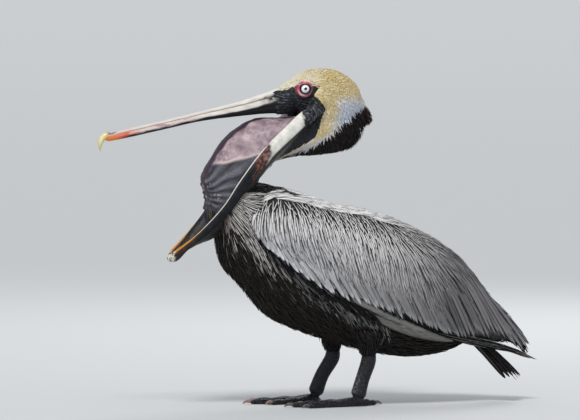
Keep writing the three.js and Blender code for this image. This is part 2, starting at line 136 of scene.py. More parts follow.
trunkStations = [    # x, height, half depth, half width
    [-168, 275, 38, 36],
    [-147, 267, 57, 50],
    [-121, 256, 72.5, 62],
    [-84, 245, 102.5, 83],
    [-38, 228.5, 110, 97],
    [20, 209.5, 110, 101],
    [80, 195.5, 113.5, 97],
    [140, 180.5, 108, 84],
    [200, 164, 88, 64],
    [245, 148, 57, 42],
    [284, 134, 26, 24],
]
liningRise = 2.2    # the folded wings lie this far off the trunk
liningStations = [[x, z, d + liningRise, w + liningRise] for x, z, d, w in trunkStations[1:8]] + [
    [200, 168, 91, 66],
    [245, 152, 73, 46],
    [290, 123, 46, 26],
    [330, 103, 25, 16],
    [367.5, 68, 8, 10],
]
covertStations = [    # x, lower edge, upper edge, in degrees round the lining
    [-136, 34, 52],
    [-101, -4, 82],
    [-60, -13, 87],
    [-9, -19, 88],
    [76, -32, 88],
    [130, -38, 88],
    [188, -44, 88],
    [245, -46, 86],
    [300, -36, 82],
    [354, -10, 40],
]
neckStations = [    # x, z, half depth, half width
    [-62, 262, 89, 74],
    [-112, 302, 68, 57],
    [-141, 345, 45, 38],
    [-134, 387, 38, 30],
    [-98, 414.5, 34, 29],
    [-48, 427, 31, 28],
    [-4, 438, 39, 29],
    [36, 449, 41.5, 28],
    [70, 462, 21, 20],
]
headStations = [    # x, z, up, down, half width
    [-62, 492.5, 16, 20, 18],
    [-38, 497.5, 26, 30, 25],
    [-12, 499.5, 39, 42, 29],
    [15, 493.5, 46, 56, 31],
    [40, 484.5, 42, 68, 30],
    [60, 473.5, 30, 48, 25],
    [88, 458.5, 16, 20, 13],
]
upperBillStations = [    # x, z, half height, half width
    [-42, 490, 20, 21],
    [-61, 485.5, 21.5, 21],
    [-88, 481, 17.5, 19],
    [-129, 473.5, 12.5, 17.5],
    [-196, 462, 8, 15.5],
    [-263, 447.5, 7.2, 16],
    [-317, 436, 7, 16.5],
    [-341, 431, 6.2, 13.5],
    [-354, 429.5, 4.4, 8],
]
nailStations = [
    [-338, 435, 4.6, 6],
    [-350.5, 433.5, 5.4, 6.2],
    [-358, 426, 4.8, 5.4],
    [-360, 417, 3, 3.6],
    [-359, 408.5, 1, 1.2],
]
branchStations = [    # left branch of the lower bill: x, y, z, half height, half thickness
    [-14, -34, 472.5, 8, 4.5],
    [-32, -38.5, 460.47, 11, 6],
    [-58, -43, 438.43, 11, 5.5],
    [-97, -46.5, 403.36, 10.5, 4.8],
    [-135, -46.5, 357.26, 9, 4.2],
    [-163, -42, 317.17, 7.5, 3.8],
    [-198, -31, 279.09, 6, 3.6],
    [-224, -18.5, 256.05, 5.6, 4.2],
    [-246, -5.5, 234, 10, 5.6],
]
jawHinge = np.array([-9.0, 0, 477.5])
lowerBillTip = np.array([-245.0, 0, 239])
billAlong = (lowerBillTip - jawHinge) / np.linalg.norm(lowerBillTip - jawHinge)
billRise = np.array([billAlong[2], 0, -billAlong[0]])
pouchStations = [    # distance along the lower bill, up, down, half width
    [26, 8, 10, 30],
    [45, 21, 14, 38],
    [75, 51, 16, 42],
    [105, 64, 14, 43],
    [140, 68, 15, 43],
    [175, 62, 21, 42],
    [205, 53, 26, 39],
    [222, 28, 29, 36],
    [240, 7, 33, 33],
    [266, 3, 29, 27],
    [290, 2, 18, 19],
    [322, 2, 8, 7],
]
eye = {"place": np.array([-27.0, 23.0, 506.0]), "radius": 8.6, "axis": np.array([-0.2, 0.97, 0.04])}
legs = {
    "left": {
        "side": -1, "thigh": (70, -50, 128), "heel": (72, -45, 70), "mid": (62, -45.5, 42), "ankle": (53, -47, 12),
        "hindToe": (38, 200),    # length, outward turn
    },
    "right": {
        "side": 1, "thigh": (44, 50, 134), "heel": (41, 45, 72), "mid": (24, 45.5, 44), "ankle": (12, 47, 12),
        "hindToe": (32, 272),
    },
}
frontToes = [(88, -20), (110, -1), (97, 18)]
sides = {"left": -1, "right": 1}

# shape helpers


def smoothAt(table, t):    # rows of a table at t from 0 to 1, smooth through each row
    rows = np.asarray(table, float)
    t = np.atleast_1d(np.asarray(t, float))
    last = len(rows) - 1
    place = np.clip(t, 0, 1) * last
    i = np.minimum(place.astype(int), last - 1)
    f = (place - i)[:, None]
    a, b = rows[np.maximum(i - 1, 0)], rows[i]
    c, d = rows[i + 1], rows[np.minimum(i + 2, last)]
    slopeB = np.where((i > 0)[:, None], (c - a) / 2, c - b)
    slopeC = np.where((i + 2 <= last)[:, None], (d - b) / 2, c - b)
    f2, f3 = f * f, f * f * f
    return (2 * f3 - 3 * f2 + 1) * b + (f3 - 2 * f2 + f) * slopeB + (3 * f2 - 2 * f3) * c + (f3 - f2) * slopeC


def smoothAtX(table, x):    # the other columns at x, where the first column only grows
    fine = smoothAt(table, np.linspace(0, 1, 500))
    return [np.interp(x, fine[:, 0], fine[:, k]) for k in range(1, fine.shape[1])]


def ease(low, high, x):    # 0 below low, 1 above high
    s = np.clip((x - low) / (high - low), 0, 1)
    return s * s * (3 - 2 * s)


def blend(a, b, share):
    share = np.asarray(share, float)[..., None]
    return np.asarray(a, float) * (1 - share) + np.asarray(b, float) * share


def unit(v):
    return v / np.maximum(np.linalg.norm(v, axis=-1, keepdims=True), 1e-9)


def endRounding(t, nose, tail):
    near = np.minimum(np.minimum(t / nose, (1 - t) / tail), 1)
    return np.sqrt(np.maximum(0, 1 - (1 - near) ** 2))


def insideOutline(x, z, outline):    # which points lie inside a closed outline, seen from the side
    inside = np.zeros(len(x), bool)
    for (x0, z0), (x1, z1) in zip(outline, outline[1:] + outline[:1]):
        if z0 == z1:
            continue
        crosses = (z0 > z) != (z1 > z)
        inside ^= crosses & (x < (x1 - x0) * (z - z0) / (z1 - z0) + x0)
    return inside


def distanceToLine(x, z, line):    # distance to a polyline seen from the side, and the place along it
    best = np.full(len(x), 1e9)
    along = np.zeros(len(x))
    run = 0.0
    for (x0, z0), (x1, z1) in zip(line, line[1:]):
        dx, dz = x1 - x0, z1 - z0
        length = math.hypot(dx, dz)
        s = np.clip(((x - x0) * dx + (z - z0) * dz) / length**2, 0, 1)
        gapX, gapZ = x - x0 - s * dx, z - z0 - s * dz
        side = np.sign(gapX * dz - gapZ * dx)
        away = np.hypot(gapX, gapZ)
        nearer = away < np.abs(best)
        best = np.where(nearer, away * np.where(side == 0, 1, side), best)
        along = np.where(nearer, run + s * length, along)
        run += length
    return best, along


waves = [(unit(dice.normal(size=3)), dice.uniform(0, 6.3), dice.uniform(0.6, 1.7)) for _ in range(14)]


def lumps(points, size):    # smooth noise from -1 to 1, about size across
    total = np.zeros(len(points))
    for way, phase, pitch in waves:
        total += np.sin(points @ way * (2 * math.pi * pitch / (2.2 * size)) + phase)
    return total / math.sqrt(len(waves)) / 1.4


def tubeFaces(rings, around):    # faces of a closed tube with a pole at each end
    index = np.arange(rings * around).reshape(rings, around)
    after = np.roll(index, -1, axis=1)
    quads = np.stack([index[:-1], after[:-1], after[1:], index[1:]], -1).reshape(-1, 4)
    start = np.full(around, rings * around)
    first = np.stack([start, after[0], index[0]], -1)
    final = np.stack([start + 1, index[-1], after[-1]], -1)
    return quads, np.concatenate([first, final])


def tube(rings, start, end):    # rings (n, around, 3) and two poles, as points and faces
    quads, tris = tubeFaces(*rings.shape[:2])
    return np.concatenate([rings.reshape(-1, 3), [start, end]]), quads, tris


def joinShapes(shapes):
    points, quads, tris, base = [], [], [], 0
    for p, q, t in shapes:
        points.append(p)
        quads.append(np.asarray(q, int).reshape(-1, 4) + base)
        tris.append(np.asarray(t, int).reshape(-1, 3) + base)
        base += len(p)
    return np.concatenate(points), np.concatenate(quads), np.concatenate(tris)


def meshObject(name, points, quads, tris, scale=mm):
    quads, tris = np.asarray(quads, int).reshape(-1, 4), np.asarray(tris, int).reshape(-1, 3)
    corners = np.concatenate([quads[:, [0, 1, 2]], quads[:, [0, 2, 3]], tris])
    a, b, c = (points[corners[:, k]] for k in range(3))
    if np.einsum("ij,ij->i", a, np.cross(b, c)).sum() < 0:    # faces point in, so turn them
        quads, tris = quads[:, ::-1], tris[:, ::-1]
    mesh = bpy.data.meshes.new(name)
    mesh.vertices.add(len(points))
    mesh.vertices.foreach_set("co", (points * scale).astype(np.float32).ravel())
    loops = np.concatenate([quads.ravel(), tris.ravel()]).astype(np.int32)
    starts = np.concatenate([np.arange(len(quads)) * 4, len(quads) * 4 + np.arange(len(tris)) * 3])
    mesh.loops.add(len(loops))
    mesh.loops.foreach_set("vertex_index", loops)
    mesh.polygons.add(len(starts))
    mesh.polygons.foreach_set("loop_start", starts.astype(np.int32))
    mesh.update(calc_edges=True)
    mesh.validate()
    mesh.shade_smooth()
    made = bpy.data.objects.new(name, mesh)
    bpy.context.scene.collection.objects.link(made)
    return made


def pointsOf(mesh):
    co = np.empty(len(mesh.vertices) * 3, np.float32)
    mesh.vertices.foreach_get("co", co)
    return co.reshape(-1, 3).astype(float) / mm


def normalsOf(mesh):
    flat = np.empty(len(mesh.vertices) * 3, np.float32)
    mesh.vertices.foreach_get("normal", flat)
    return flat.reshape(-1, 3).astype(float)


def setPoints(mesh, points):
    mesh.vertices.foreach_set("co", (points * mm).astype(np.float32).ravel())
    mesh.update()


def setColour(mesh, name, colours):    # colours (n, 3) or (n, 4), one for each vertex
    if colours.shape[1] == 3:
        colours = np.concatenate([colours, np.ones((len(colours), 1))], 1)
    layer = mesh.color_attributes.new(name, "FLOAT_COLOR", "POINT")
    layer.data.foreach_set("color", colours.astype(np.float32).ravel())


def setMap(mesh, name, uv):    # uv (n, 2), one for each vertex
    loops = np.empty(len(mesh.loops), np.int32)
    mesh.loops.foreach_get("vertex_index", loops)
    layer = mesh.uv_layers.new(name=name)
    layer.data.foreach_set("uv", uv[loops].astype(np.float32).ravel())


def midlineRings(table, rings, around, nose, tail, inset=0.0, upright=False):
    v = (np.arange(rings) + 0.5) / rings
    t = (1 - np.cos(math.pi * v)) / 2
    rows = smoothAt(table, t)
    step = 1e-3
    ahead = smoothAt(table, np.clip(t + step, 0, 1))[:, :2] - smoothAt(table, np.clip(t - step, 0, 1))[:, :2]
    tangent = unit(ahead)
    if upright:
        tangent = np.tile([1.0, 0.0], (rings, 1))
    way = 1 if table[-1][0] > table[0][0] else -1
    rise = np.stack([-tangent[:, 1], np.zeros(rings), tangent[:, 0]], -1) * way
    along = np.stack([tangent[:, 0], np.zeros(rings), tangent[:, 1]], -1)
    up, down, wide = (rows[:, 2], rows[:, 2], rows[:, 3]) if rows.shape[1] == 4 else rows[:, 2:5].T
    angle = np.arange(around) * 2 * math.pi / around
    sine, cosine = np.sin(angle), np.cos(angle)
    round_ = endRounding(t, nose, tail)
    shrink = inset * np.sqrt(round_)
    height = np.where(sine > 0, up[:, None], down[:, None]) * round_[:, None]
    centre = np.stack([rows[:, 0], np.zeros(rings), rows[:, 1]], -1)
    centre += along * (inset * (1 - round_) * np.where(t < 0.5, 1, -1))[:, None]
    lift = sine * np.maximum(height - shrink[:, None], 0.3)
    spread = cosine * np.maximum((wide * round_ - shrink)[:, None], 0.3)
    ring = centre[:, None] + rise[:, None] * lift[..., None]
    ring[..., 1] += spread
    ends = smoothAt(table, [0, 1])
    poles = [np.array([ends[0][0], 0, ends[0][1]]), np.array([ends[1][0], 0, ends[1][1]])]
    poles[0] += along[0] * inset
    poles[1] -= along[-1] * inset
    return ring, poles


def midlineShape(table, rings, around, nose, tail, inset=0.0, upright=False):
    ring, poles = midlineRings(table, rings, around, nose, tail, inset, upright)
    return tube(ring, *poles)


def limbShape(points, radii, rings=24, around=20, nose=0.12, tail=0.12):    # radii may be [along, across]
    points = np.asarray(points, float)
    v = (np.arange(rings) + 0.5) / rings
    path = smoothAt(points, v)
    step = 1e-3
    tangent = unit(smoothAt(points, v + step) - smoothAt(points, v - step))
    sideways = unit(np.cross(tangent, [0.0, 1.0, 0.0]) + 1e-6)
    upward = np.cross(sideways, tangent)
    radius = smoothAt(np.asarray(radii, float).reshape(len(radii), -1), v)
    round_ = endRounding(v, nose, tail)[:, None]
    angle = np.arange(around) * 2 * math.pi / around
    first, second = radius[:, :1] * round_, radius[:, -1:] * round_
    ring = path[:, None] + sideways[:, None] * (np.cos(angle) * first)[..., None]
    ring = ring + upward[:, None] * (np.sin(angle) * second)[..., None]
    return tube(ring, points[0], points[-1])


def mirrorShape(shape):
    points, quads, tris = shape
    return points * [1, -1, 1], quads[:, ::-1], tris[:, ::-1]


def remeshed(name, shapes, voxel, smoothing):    # one closed mesh round all shapes
    rough = meshObject(name, *joinShapes(shapes))
    modifier = rough.modifiers.new("remesh", "REMESH")
    modifier.mode = "VOXEL"
    modifier.voxel_size = voxel * mm
    if smoothing:
        soften = rough.modifiers.new("soften", "SMOOTH")
        soften.factor = 0.5
        soften.iterations = smoothing
    evaluated = rough.evaluated_get(bpy.context.evaluated_depsgraph_get())
    mesh = bpy.data.meshes.new_from_object(evaluated)
    bpy.data.objects.remove(rough)
    mesh.name = name
    mesh.shade_smooth()
    return mesh


# markings shared by skin and coat

bareFace = [    # bare black skin of face and throat, seen from the side
    (-73, 503), (-44, 510), (-26, 518), (-11.5, 512), (-2, 511), (-13, 497), (-5, 488), (6.5, 481),
    (6.5, 474), (1.4, 459), (-2.6, 443), (-9, 430), (-23, 420), (-40, 410), (-69, 394), (-82, 387),
    (-100, 363), (-150, 340), (-150, 503),
]
paleLine = [    # yellow in front, white behind
    (86, 500), (75, 490), (61, 497), (26.6, 494), (24, 478), (24, 459), (16.4, 444), (-0.4, 432), (-18.4, 420),
    (-40, 409),
]
napeLine = [    # white above, black nape below
    (-70, 393), (-44, 403), (-23.6, 410), (-5.5, 420), (17.6, 438), (33, 453), (52.4, 467.5), (70.4, 480),
    (110, 500),
]
whiteWedge = [(x, z) for x, z in paleLine] + [(x, z) for x, z in napeLine]
partingLine = [    # white mantle above, hanging silver feathers below; it runs out on the ridge of the back
    (-140, 322), (-115, 331), (-90, 333), (-49, 328), (-27, 324), (0, 318.5), (25, 313), (52, 307), (78, 300),
    (105, 293), (127, 288), (155, 283), (175, 284), (368, 290),
]
silverEdge = [    # lower edge of the wing's silver feathers
    (-136, 325), (-119, 272), (-91, 242), (-65, 224), (-42, 208), (-12, 186), (37, 168), (94, 150), (121, 142),
    (143, 133), (175, 123), (222, 109), (276, 107), (308, 104), (345, 86), (368, 70),
]
headTop = 385    # above this the head's markings rule
shades = {
    "gold": (0.83, 0.635, 0.28),
    "cream": (0.97, 0.89, 0.69),
    "white": (0.74, 0.79, 0.90),
    "nape": (0.014, 0.011, 0.012),
    "chestnut": (0.11, 0.035, 0.02),
    "brownBlack": (0.013, 0.0105, 0.0095),
    "silver": (0.60, 0.59, 0.58),
    "blackSkin": (0.008, 0.009, 0.012),
    # mantle near white: the upper scapulars' pale grey, made whiter as painted light where strong light falls on them
    "mantle": (0.86, 0.85, 0.85),
    "legSkin": (0.007, 0.0075, 0.0095),
}


def lineHeight(line, x):
    xs, zs = zip(*line)
    return np.interp(x, xs, zs)


def headShade(points):    # colours of head and upper neck at points, by place
    x, z = points[:, 0], points[:, 2]
    # creamier towards the top front of the head: partly the crown's own cream, partly painted light from above
    forehead = ease(10, -60, x) * ease(480, 500, z)
    tone = 0.5 + 0.5 * lumps(points, 14)
    colour = blend(shades["gold"], shades["cream"], np.clip(forehead + 0.45 * tone, 0, 1))
    border, _ = distanceToLine(x, z, paleLine)
    white = insideOutline(x, z, whiteWedge)
    share = np.where(white, 0.5 + 0.5 * ease(0, 9, np.abs(border)), 0.5 * ease(7, 0, np.abs(border)))
    share = share * ((z > lineHeight(napeLine, x)) | white)
    colour = blend(colour, shades["white"], np.clip(share + 0.12 * lumps(points, 3), 0, 1) * (share > 0.02))
    nape = (z < lineHeight(napeLine, x)) & ~insideOutline(x, z, bareFace)
    edge = ease(60, 95, x) * 0.7 + 0.25 * (lumps(points, 6) > 0.6)
    dark = blend(shades["nape"], shades["chestnut"], np.clip(edge, 0, 1) * 0.6)
    colour[nape] = dark[nape]
    return colour


def streakStrength(points):    # how strongly the dark body is streaked with silver
    x, z = points[:, 0], points[:, 2]
    across = (x + 122) * 0.83 + (z - 300) * 0.55    # distance across the band that runs down behind the bill
    along = (z - 300) * 0.83 - (x + 122) * 0.55
    chest = np.exp(-((across / 40) ** 2)) * (0.42 * ease(-120, -40, along) + 0.6 * ease(-60, 0, along))
    flank = 0.24 * np.exp(-((across / 26) ** 2)) * ease(-190, -120, along)
    return np.clip(chest + flank, 0, 1)


def wingHeight(points):    # 0 at the silver feathers' lower edge, 1 at the parting line or the ridge
    x, z = points[:, 0], points[:, 2]
    centre, deep, _ = smoothAtX(liningStations, x)
    top = np.minimum(lineHeight(partingLine, x), centre + deep)
    lowest = lineHeight(silverEdge, x)
    return np.clip((z - lowest) / np.maximum(top - lowest, 5), 0, 1)


def onWing(points, margin=0.0):    # which points lie under a folded wing's covering feathers
    x, y, z = points.T
    centre, deep, wide = smoothAtX(liningStations, x)
    angle = np.degrees(np.arctan2((z - centre) / deep, np.abs(y) / wide))
    low, top = smoothAtX(covertStations, x)
    reach = (x > covertStations[0][0] + 6) & (x < covertStations[-1][0] - 4)
    return reach & (angle > low + margin) & (angle < top + 4), (angle - low) / (top - low)


print("measures ready")

# the skin

skin = {
    "trunkCoat": 7.0,    # how deep the skin lies under the coat
    "neckCoat": 3.6,
    "headCoat": 1.5,
    "wingLift": 4.0,    # flesh and under feathers of the folded wings, above the lining
    "voxel": 2.3,
    "footVoxel": 1.3,
    "foldDepth": 2.3,    # folds of the bare face
    "foldPitch": 5.2,
}
foldLine = [(-150, 470), (-100, 469), (-66, 463), (-30, 465), (-24, 458), (-44, 447), (-95, 396), (-140, 345)]
gularStations = [[d, 5, down - 0.5, wide - 2.5] for d, _, down, wide in pouchStations[:7]]
coreStations = [[x, z, d, 0.42 * d, w] for x, z, d, w in liningStations[4:]]


def pouchRings(table, rings, around, nose, tail, inset=0.0):
    v = (np.arange(rings) + 0.5) / rings
    t = (1 - np.cos(math.pi * v)) / 2
    distance, up, down, wide = smoothAt(table, t).T
    round_ = endRounding(t, nose, tail)
    angle = np.arange(around) * 2 * math.pi / around
    height = np.where(np.sin(angle) > 0, up[:, None], down[:, None]) - inset
    lift = np.sin(angle) * np.maximum(height, 0.5) * round_[:, None]
    ring = (jawHinge + billAlong * distance[:, None])[:, None] + billRise * lift[..., None]
    ring[..., 1] += np.cos(angle) * ((wide - inset) * round_)[:, None]
    return ring


def pouchShape(table, rings, around, nose, tail, inset=0.0):
    ring = pouchRings(table, rings, around, nose, tail, inset)
    return tube(ring, jawHinge + billAlong * table[0][0], jawHinge + billAlong * table[-1][0])


def ridgeDrop(degrees):    # the wings' covering thins out towards the ridge of the back
    return ease(58, 88, degrees)


def wingShape(side):    # the folded wing's bulk, thin at its lower rim
    rings, half = 70, 30
    v = (np.arange(rings) + 0.5) / rings
    t = (1 - np.cos(math.pi * v)) / 2
    x, low, top = smoothAt(covertStations, t).T
    top = top + 4
    centre, deep, wide = smoothAtX(liningStations, x)
    round_ = endRounding(t, 0.14, 0.1)[:, None]
    share = np.concatenate([np.linspace(0, 1, half, endpoint=False), np.linspace(1, 0, half, endpoint=False)])
    outer = np.arange(2 * half) < half
    angle = np.radians((low + top)[:, None] / 2 + (top - low)[:, None] * (share - 0.5) * round_)
    lift = -6.5 + (skin["wingLift"] + 6.5) * ease(0, 0.14, share) * round_
    lift = lift - ridgeDrop(np.degrees(angle)) * (skin["wingLift"] - 0.5)
    inner = -np.minimum(16, 0.6 * np.minimum(deep, wide))[:, None]
    offset = np.where(outer, lift, inner)
    ring = np.empty((rings, 2 * half, 3))
    ring[..., 0] = x[:, None]
    ring[..., 1] = side * (wide[:, None] + offset) * np.cos(angle)
    ring[..., 2] = centre[:, None] + (deep[:, None] + offset) * np.sin(angle)
    return tube(ring, ring[0].mean(0), ring[-1].mean(0))


def bodyShapes():
    shapes = [
        midlineShape(trunkStations, 90, 72, 0.1, 0.12, skin["trunkCoat"], upright=True),
        midlineShape(neckStations, 90, 56, 0.06, 0.06, skin["neckCoat"]),
        midlineShape(headStations, 80, 72, 0.1, 0.26, skin["headCoat"]),
        midlineShape(coreStations, 50, 48, 0.1, 0.1, 8, upright=True),
        pouchShape(gularStations, 60, 48, 0.05, 0.2),
    ]
    for side in sides.values():
        shapes.append(wingShape(side))
        jaw = [(2, 25, 482.5), (-10, 30, 475.5), (-23, 35.5, 466), (-34, 38.8, 457.5)]
        radii = [[11, 9], [11.5, 8.6], [12.2, 8.2], [12.4, 7.6]]
        shapes.append(limbShape([(x, side * y, z) for x, y, z in jaw], radii, 30, 20, 0.12, 0.05))
        root = [(-44, 8, 490.5), (-60, 7, 486.5), (-76, 6, 482.5)]
        shapes.append(limbShape([(x, side * y, z) for x, y, z in root], [[20, 14], [20.5, 15.2], [17.5, 14]]))
    for leg in legs.values():
        thigh, heel = np.array(leg["thigh"], float), np.array(leg["heel"], float)
        cuff = heel + [0, 0, 10]
        shapes.append(limbShape([thigh, (thigh + cuff) / 2, cuff], [31, 18.5, 11.5], nose=0.3))
    return shapes


def eyeFrame(points, side):    # distance from the eye's axis, height along it, and the turn round it
    centre, axis = eye["place"] * [1, side, 1], unit(eye["axis"] * [1, side, 1])
    front = unit(np.array([-1.0, 0, 0]) + axis * axis[0])
    up = np.cross(front, axis) * side
    up = up * np.sign(up[2])
    off = points - centre
    p, q, h = off @ front, off @ up, off @ axis
    return np.hypot(p, q), h, np.arctan2(q, p), axis


def refineFace(mesh):    # finer faces round eyes and jaw
    bm = bmesh.new()
    bm.from_mesh(mesh)
    centres = np.array([f.calc_center_median() for f in bm.faces]) / mm
    x, z = centres[:, 0], centres[:, 2]
    near = insideOutline(x, z, bareFace) & (x > -90) & (z > 396)
    for side in sides.values():
        r, h, _, _ = eyeFrame(centres, side)
        near |= (r < 19) & (h > -6)
    chosen = [f for f, keep in zip(bm.faces, near & (np.abs(centres[:, 1]) > 7)) if keep]
    edges = list({e for f in chosen for e in f.edges})
    bmesh.ops.subdivide_edges(bm, edges=edges, cuts=2, use_grid_fill=True)
    rough = [v for v in bm.verts if any(len(f.verts) > 4 for f in v.link_faces)]
    bmesh.ops.triangulate(bm, faces=list({f for v in rough for f in v.link_faces if len(f.verts) > 4}))
    bm.to_mesh(mesh)
    bm.free()
    mesh.update()


def faceFolds(points):    # folds of the bare face from -1 in a crease to 1 on a ridge, and where they are
    x, z = points[:, 0], points[:, 2]
    away, along = distanceToLine(x, z, foldLine)
    bare = insideOutline(x, z, bareFace) & (z > 400) & (np.abs(points[:, 1]) > 6)
    border, _ = distanceToLine(x, z, bareFace[:13])
    fade = bare * ease(0.5, 5, np.abs(border)) * ease(-100, -86, x)
    for side in sides.values():
        r, h, _, _ = eyeFrame(points, side)
        fade = fade * np.where(h > -10, ease(13, 18, r), 1)
    bend = away + 2.6 * lumps(points, 15)
    folds = 2 * np.abs(np.sin(math.pi * bend / skin["foldPitch"])) ** 0.6 - 1.1
    fine = np.sin(2 * math.pi * bend / 2.1 + 2 * lumps(points, 5)) * 0.3
    strong = 0.35 + 0.65 * ease(-0.4, 0.7, lumps(points, 20))
    calm = 1 - 0.75 * ease(452, 440, z)    # the throat is smoother
    return (folds * strong + fine + 0.35 * lumps(points, 3.2)) * calm, fade


def sculptHead(mesh):
    points, normals = pointsOf(mesh), normalsOf(mesh)
    folds, fade = faceFolds(points)
    points = points + normals * (0.5 * skin["foldDepth"] * folds * fade)[:, None]
    for side in sides.values():
        r, h, turn, axis = eyeFrame(points, side)
        near = (r < 19) & (h > -9)
        oval = r / (1 + 0.1 * np.cos(turn) ** 2)
        lid = np.interp(oval, [0, 6.9, 7.7, 8.5, 9.6, 11, 13, 15.5], [-3, -3, 4.2, 5.1, 4.9, 4.6, 4.5, 3.0])
        crease = 0.32 * np.sin(oval * 3.1 + 0.7 * np.sin(turn * 3)) + 0.2 * np.sin(turn * 17 + 3 * np.sin(oval))
        lid = lid + crease * ease(8.6, 10, oval) * (1 - ease(14, 16, oval))
        share = (1 - ease(11.5, 17.5, oval)) * near
        points = points + axis * ((lid - h) * share)[:, None]
    setPoints(mesh, points)


def toesOf(leg):
    return [leg["hindToe"], *frontToes]


def footShapes(leg):
    side, ankle = leg["side"], np.array(leg["ankle"], float)
    heel, mid = np.array(leg["heel"], float), np.array(leg["mid"], float)
    top = heel + [1, 0, 16]
    radii = [[11.4, 9.8], [12.2, 9.8], [11.6, 8.2], [13.0, 9.6]]
    shapes = [limbShape([top, heel, mid, ankle], radii, 60, 32, 0.15, 0.1)]
    tips = []
    for length, turn in toesOf(leg):
        angle = math.radians(turn)
        way = np.array([-math.cos(angle), side * math.sin(angle), 0])
        spots = [(-0.08, 8.4), (0.2, 6.0), (0.35, 5.0), (0.5, 5.2), (0.7, 4.1), (0.84, 4.4), (1, 3.4)]
        path = [np.array([ankle[0], ankle[1], 0]) + way * length * s + [0, 0, h] for s, h in spots]
        radii = [9, 7, 5.8, 5.9, 4.4, 4.7, 3.3]
        shapes.append(limbShape(path, radii, 60, 20, 0.12, 0.06))
        tips.append(np.array([ankle[0], ankle[1], 0]) + way * length * 0.95)
    shapes.append(webShape(ankle, tips, side))
    return shapes


def webShape(ankle, tips, side):    # a thin scalloped sheet between the toes, as a closed plate
    outline = []
    centre = np.array([ankle[0], ankle[1], 0])
    for start, end in zip(tips, tips[1:]):
        middle = ((start + end) / 2) * 0.87 + centre * 0.13
        for s in np.linspace(0, 1, 24, endpoint=False):
            outline.append((1 - s) ** 2 * start + 2 * s * (1 - s) * middle + s * s * end)
    outline.append(tips[-1])
    outline.append(centre + [13, side * 8, 0])
    rim = np.array(outline)
    shares = np.linspace(1, 0.06, 16)
    rows = [centre + (rim - centre) * s for s in shares]
    lower = [row + [0, 0, 0.35] for row in rows]
    upper = [row + [0, 0, 2.3 + 2.2 * (1 - s)] for row, s in zip(rows, shares)]
    ring = np.array(lower[::-1] + upper)
    return tube(ring, centre + [0, 0, 0.35], centre + [0, 0, 5])


def sculptFeet(mesh):
    points, normals = pointsOf(mesh), normalsOf(mesh)
    shift = np.zeros(len(points))
    for leg in legs.values():
        ankle = np.array(leg["ankle"], float)
        mine = np.sign(points[:, 1]) == leg["side"]
        z = points[:, 2]
        front = mine * ease(0.15, 0.6, -normals[:, 0]) * ease(14, 26, z)
        shift += front * (np.abs(np.sin(math.pi * z / 3.4 + lumps(points, 5))) ** 0.5 - 0.6) * 0.28
        beads = np.sin(points[:, 0] * 1.9 + 1.5 * lumps(points, 6)) * np.sin(z * 1.9) * 0.22
        shift += (mine * ease(14, 26, z) - front).clip(0) * beads
        low = mine * (1 - ease(13, 20, z))
        off = points[:, :2] - ankle[:2]
        reach = np.hypot(*off.T)
        turn = np.degrees(np.arctan2(leg["side"] * off[:, 1], -off[:, 0]))
        onToe = np.zeros(len(points))
        for length, outward in toesOf(leg):
            outward = (outward + 180) % 360 - 180
            gap = reach * np.radians(np.abs((turn - outward + 180) % 360 - 180))
            onToe = np.maximum(onToe, (1 - ease(2.5, 6, gap)) * (reach < length))
        upward = ease(0.2, 0.7, normals[:, 2])
        scutes = (np.abs(np.sin(math.pi * reach / 4.0)) ** 0.5 - 0.6) * 0.42
        shift += low * upward * onToe * scutes
        ribs = 0.3 * np.sin(np.radians(turn) * 46 + lumps(points, 9)) + 0.35 * lumps(points, 7)
        shift += low * upward * (1 - onToe) * ribs * ease(12, 26, reach)
    moved = points + normals * shift[:, None]
    moved[:, 2] = np.maximum(moved[:, 2], 0)
    setPoints(mesh, moved)


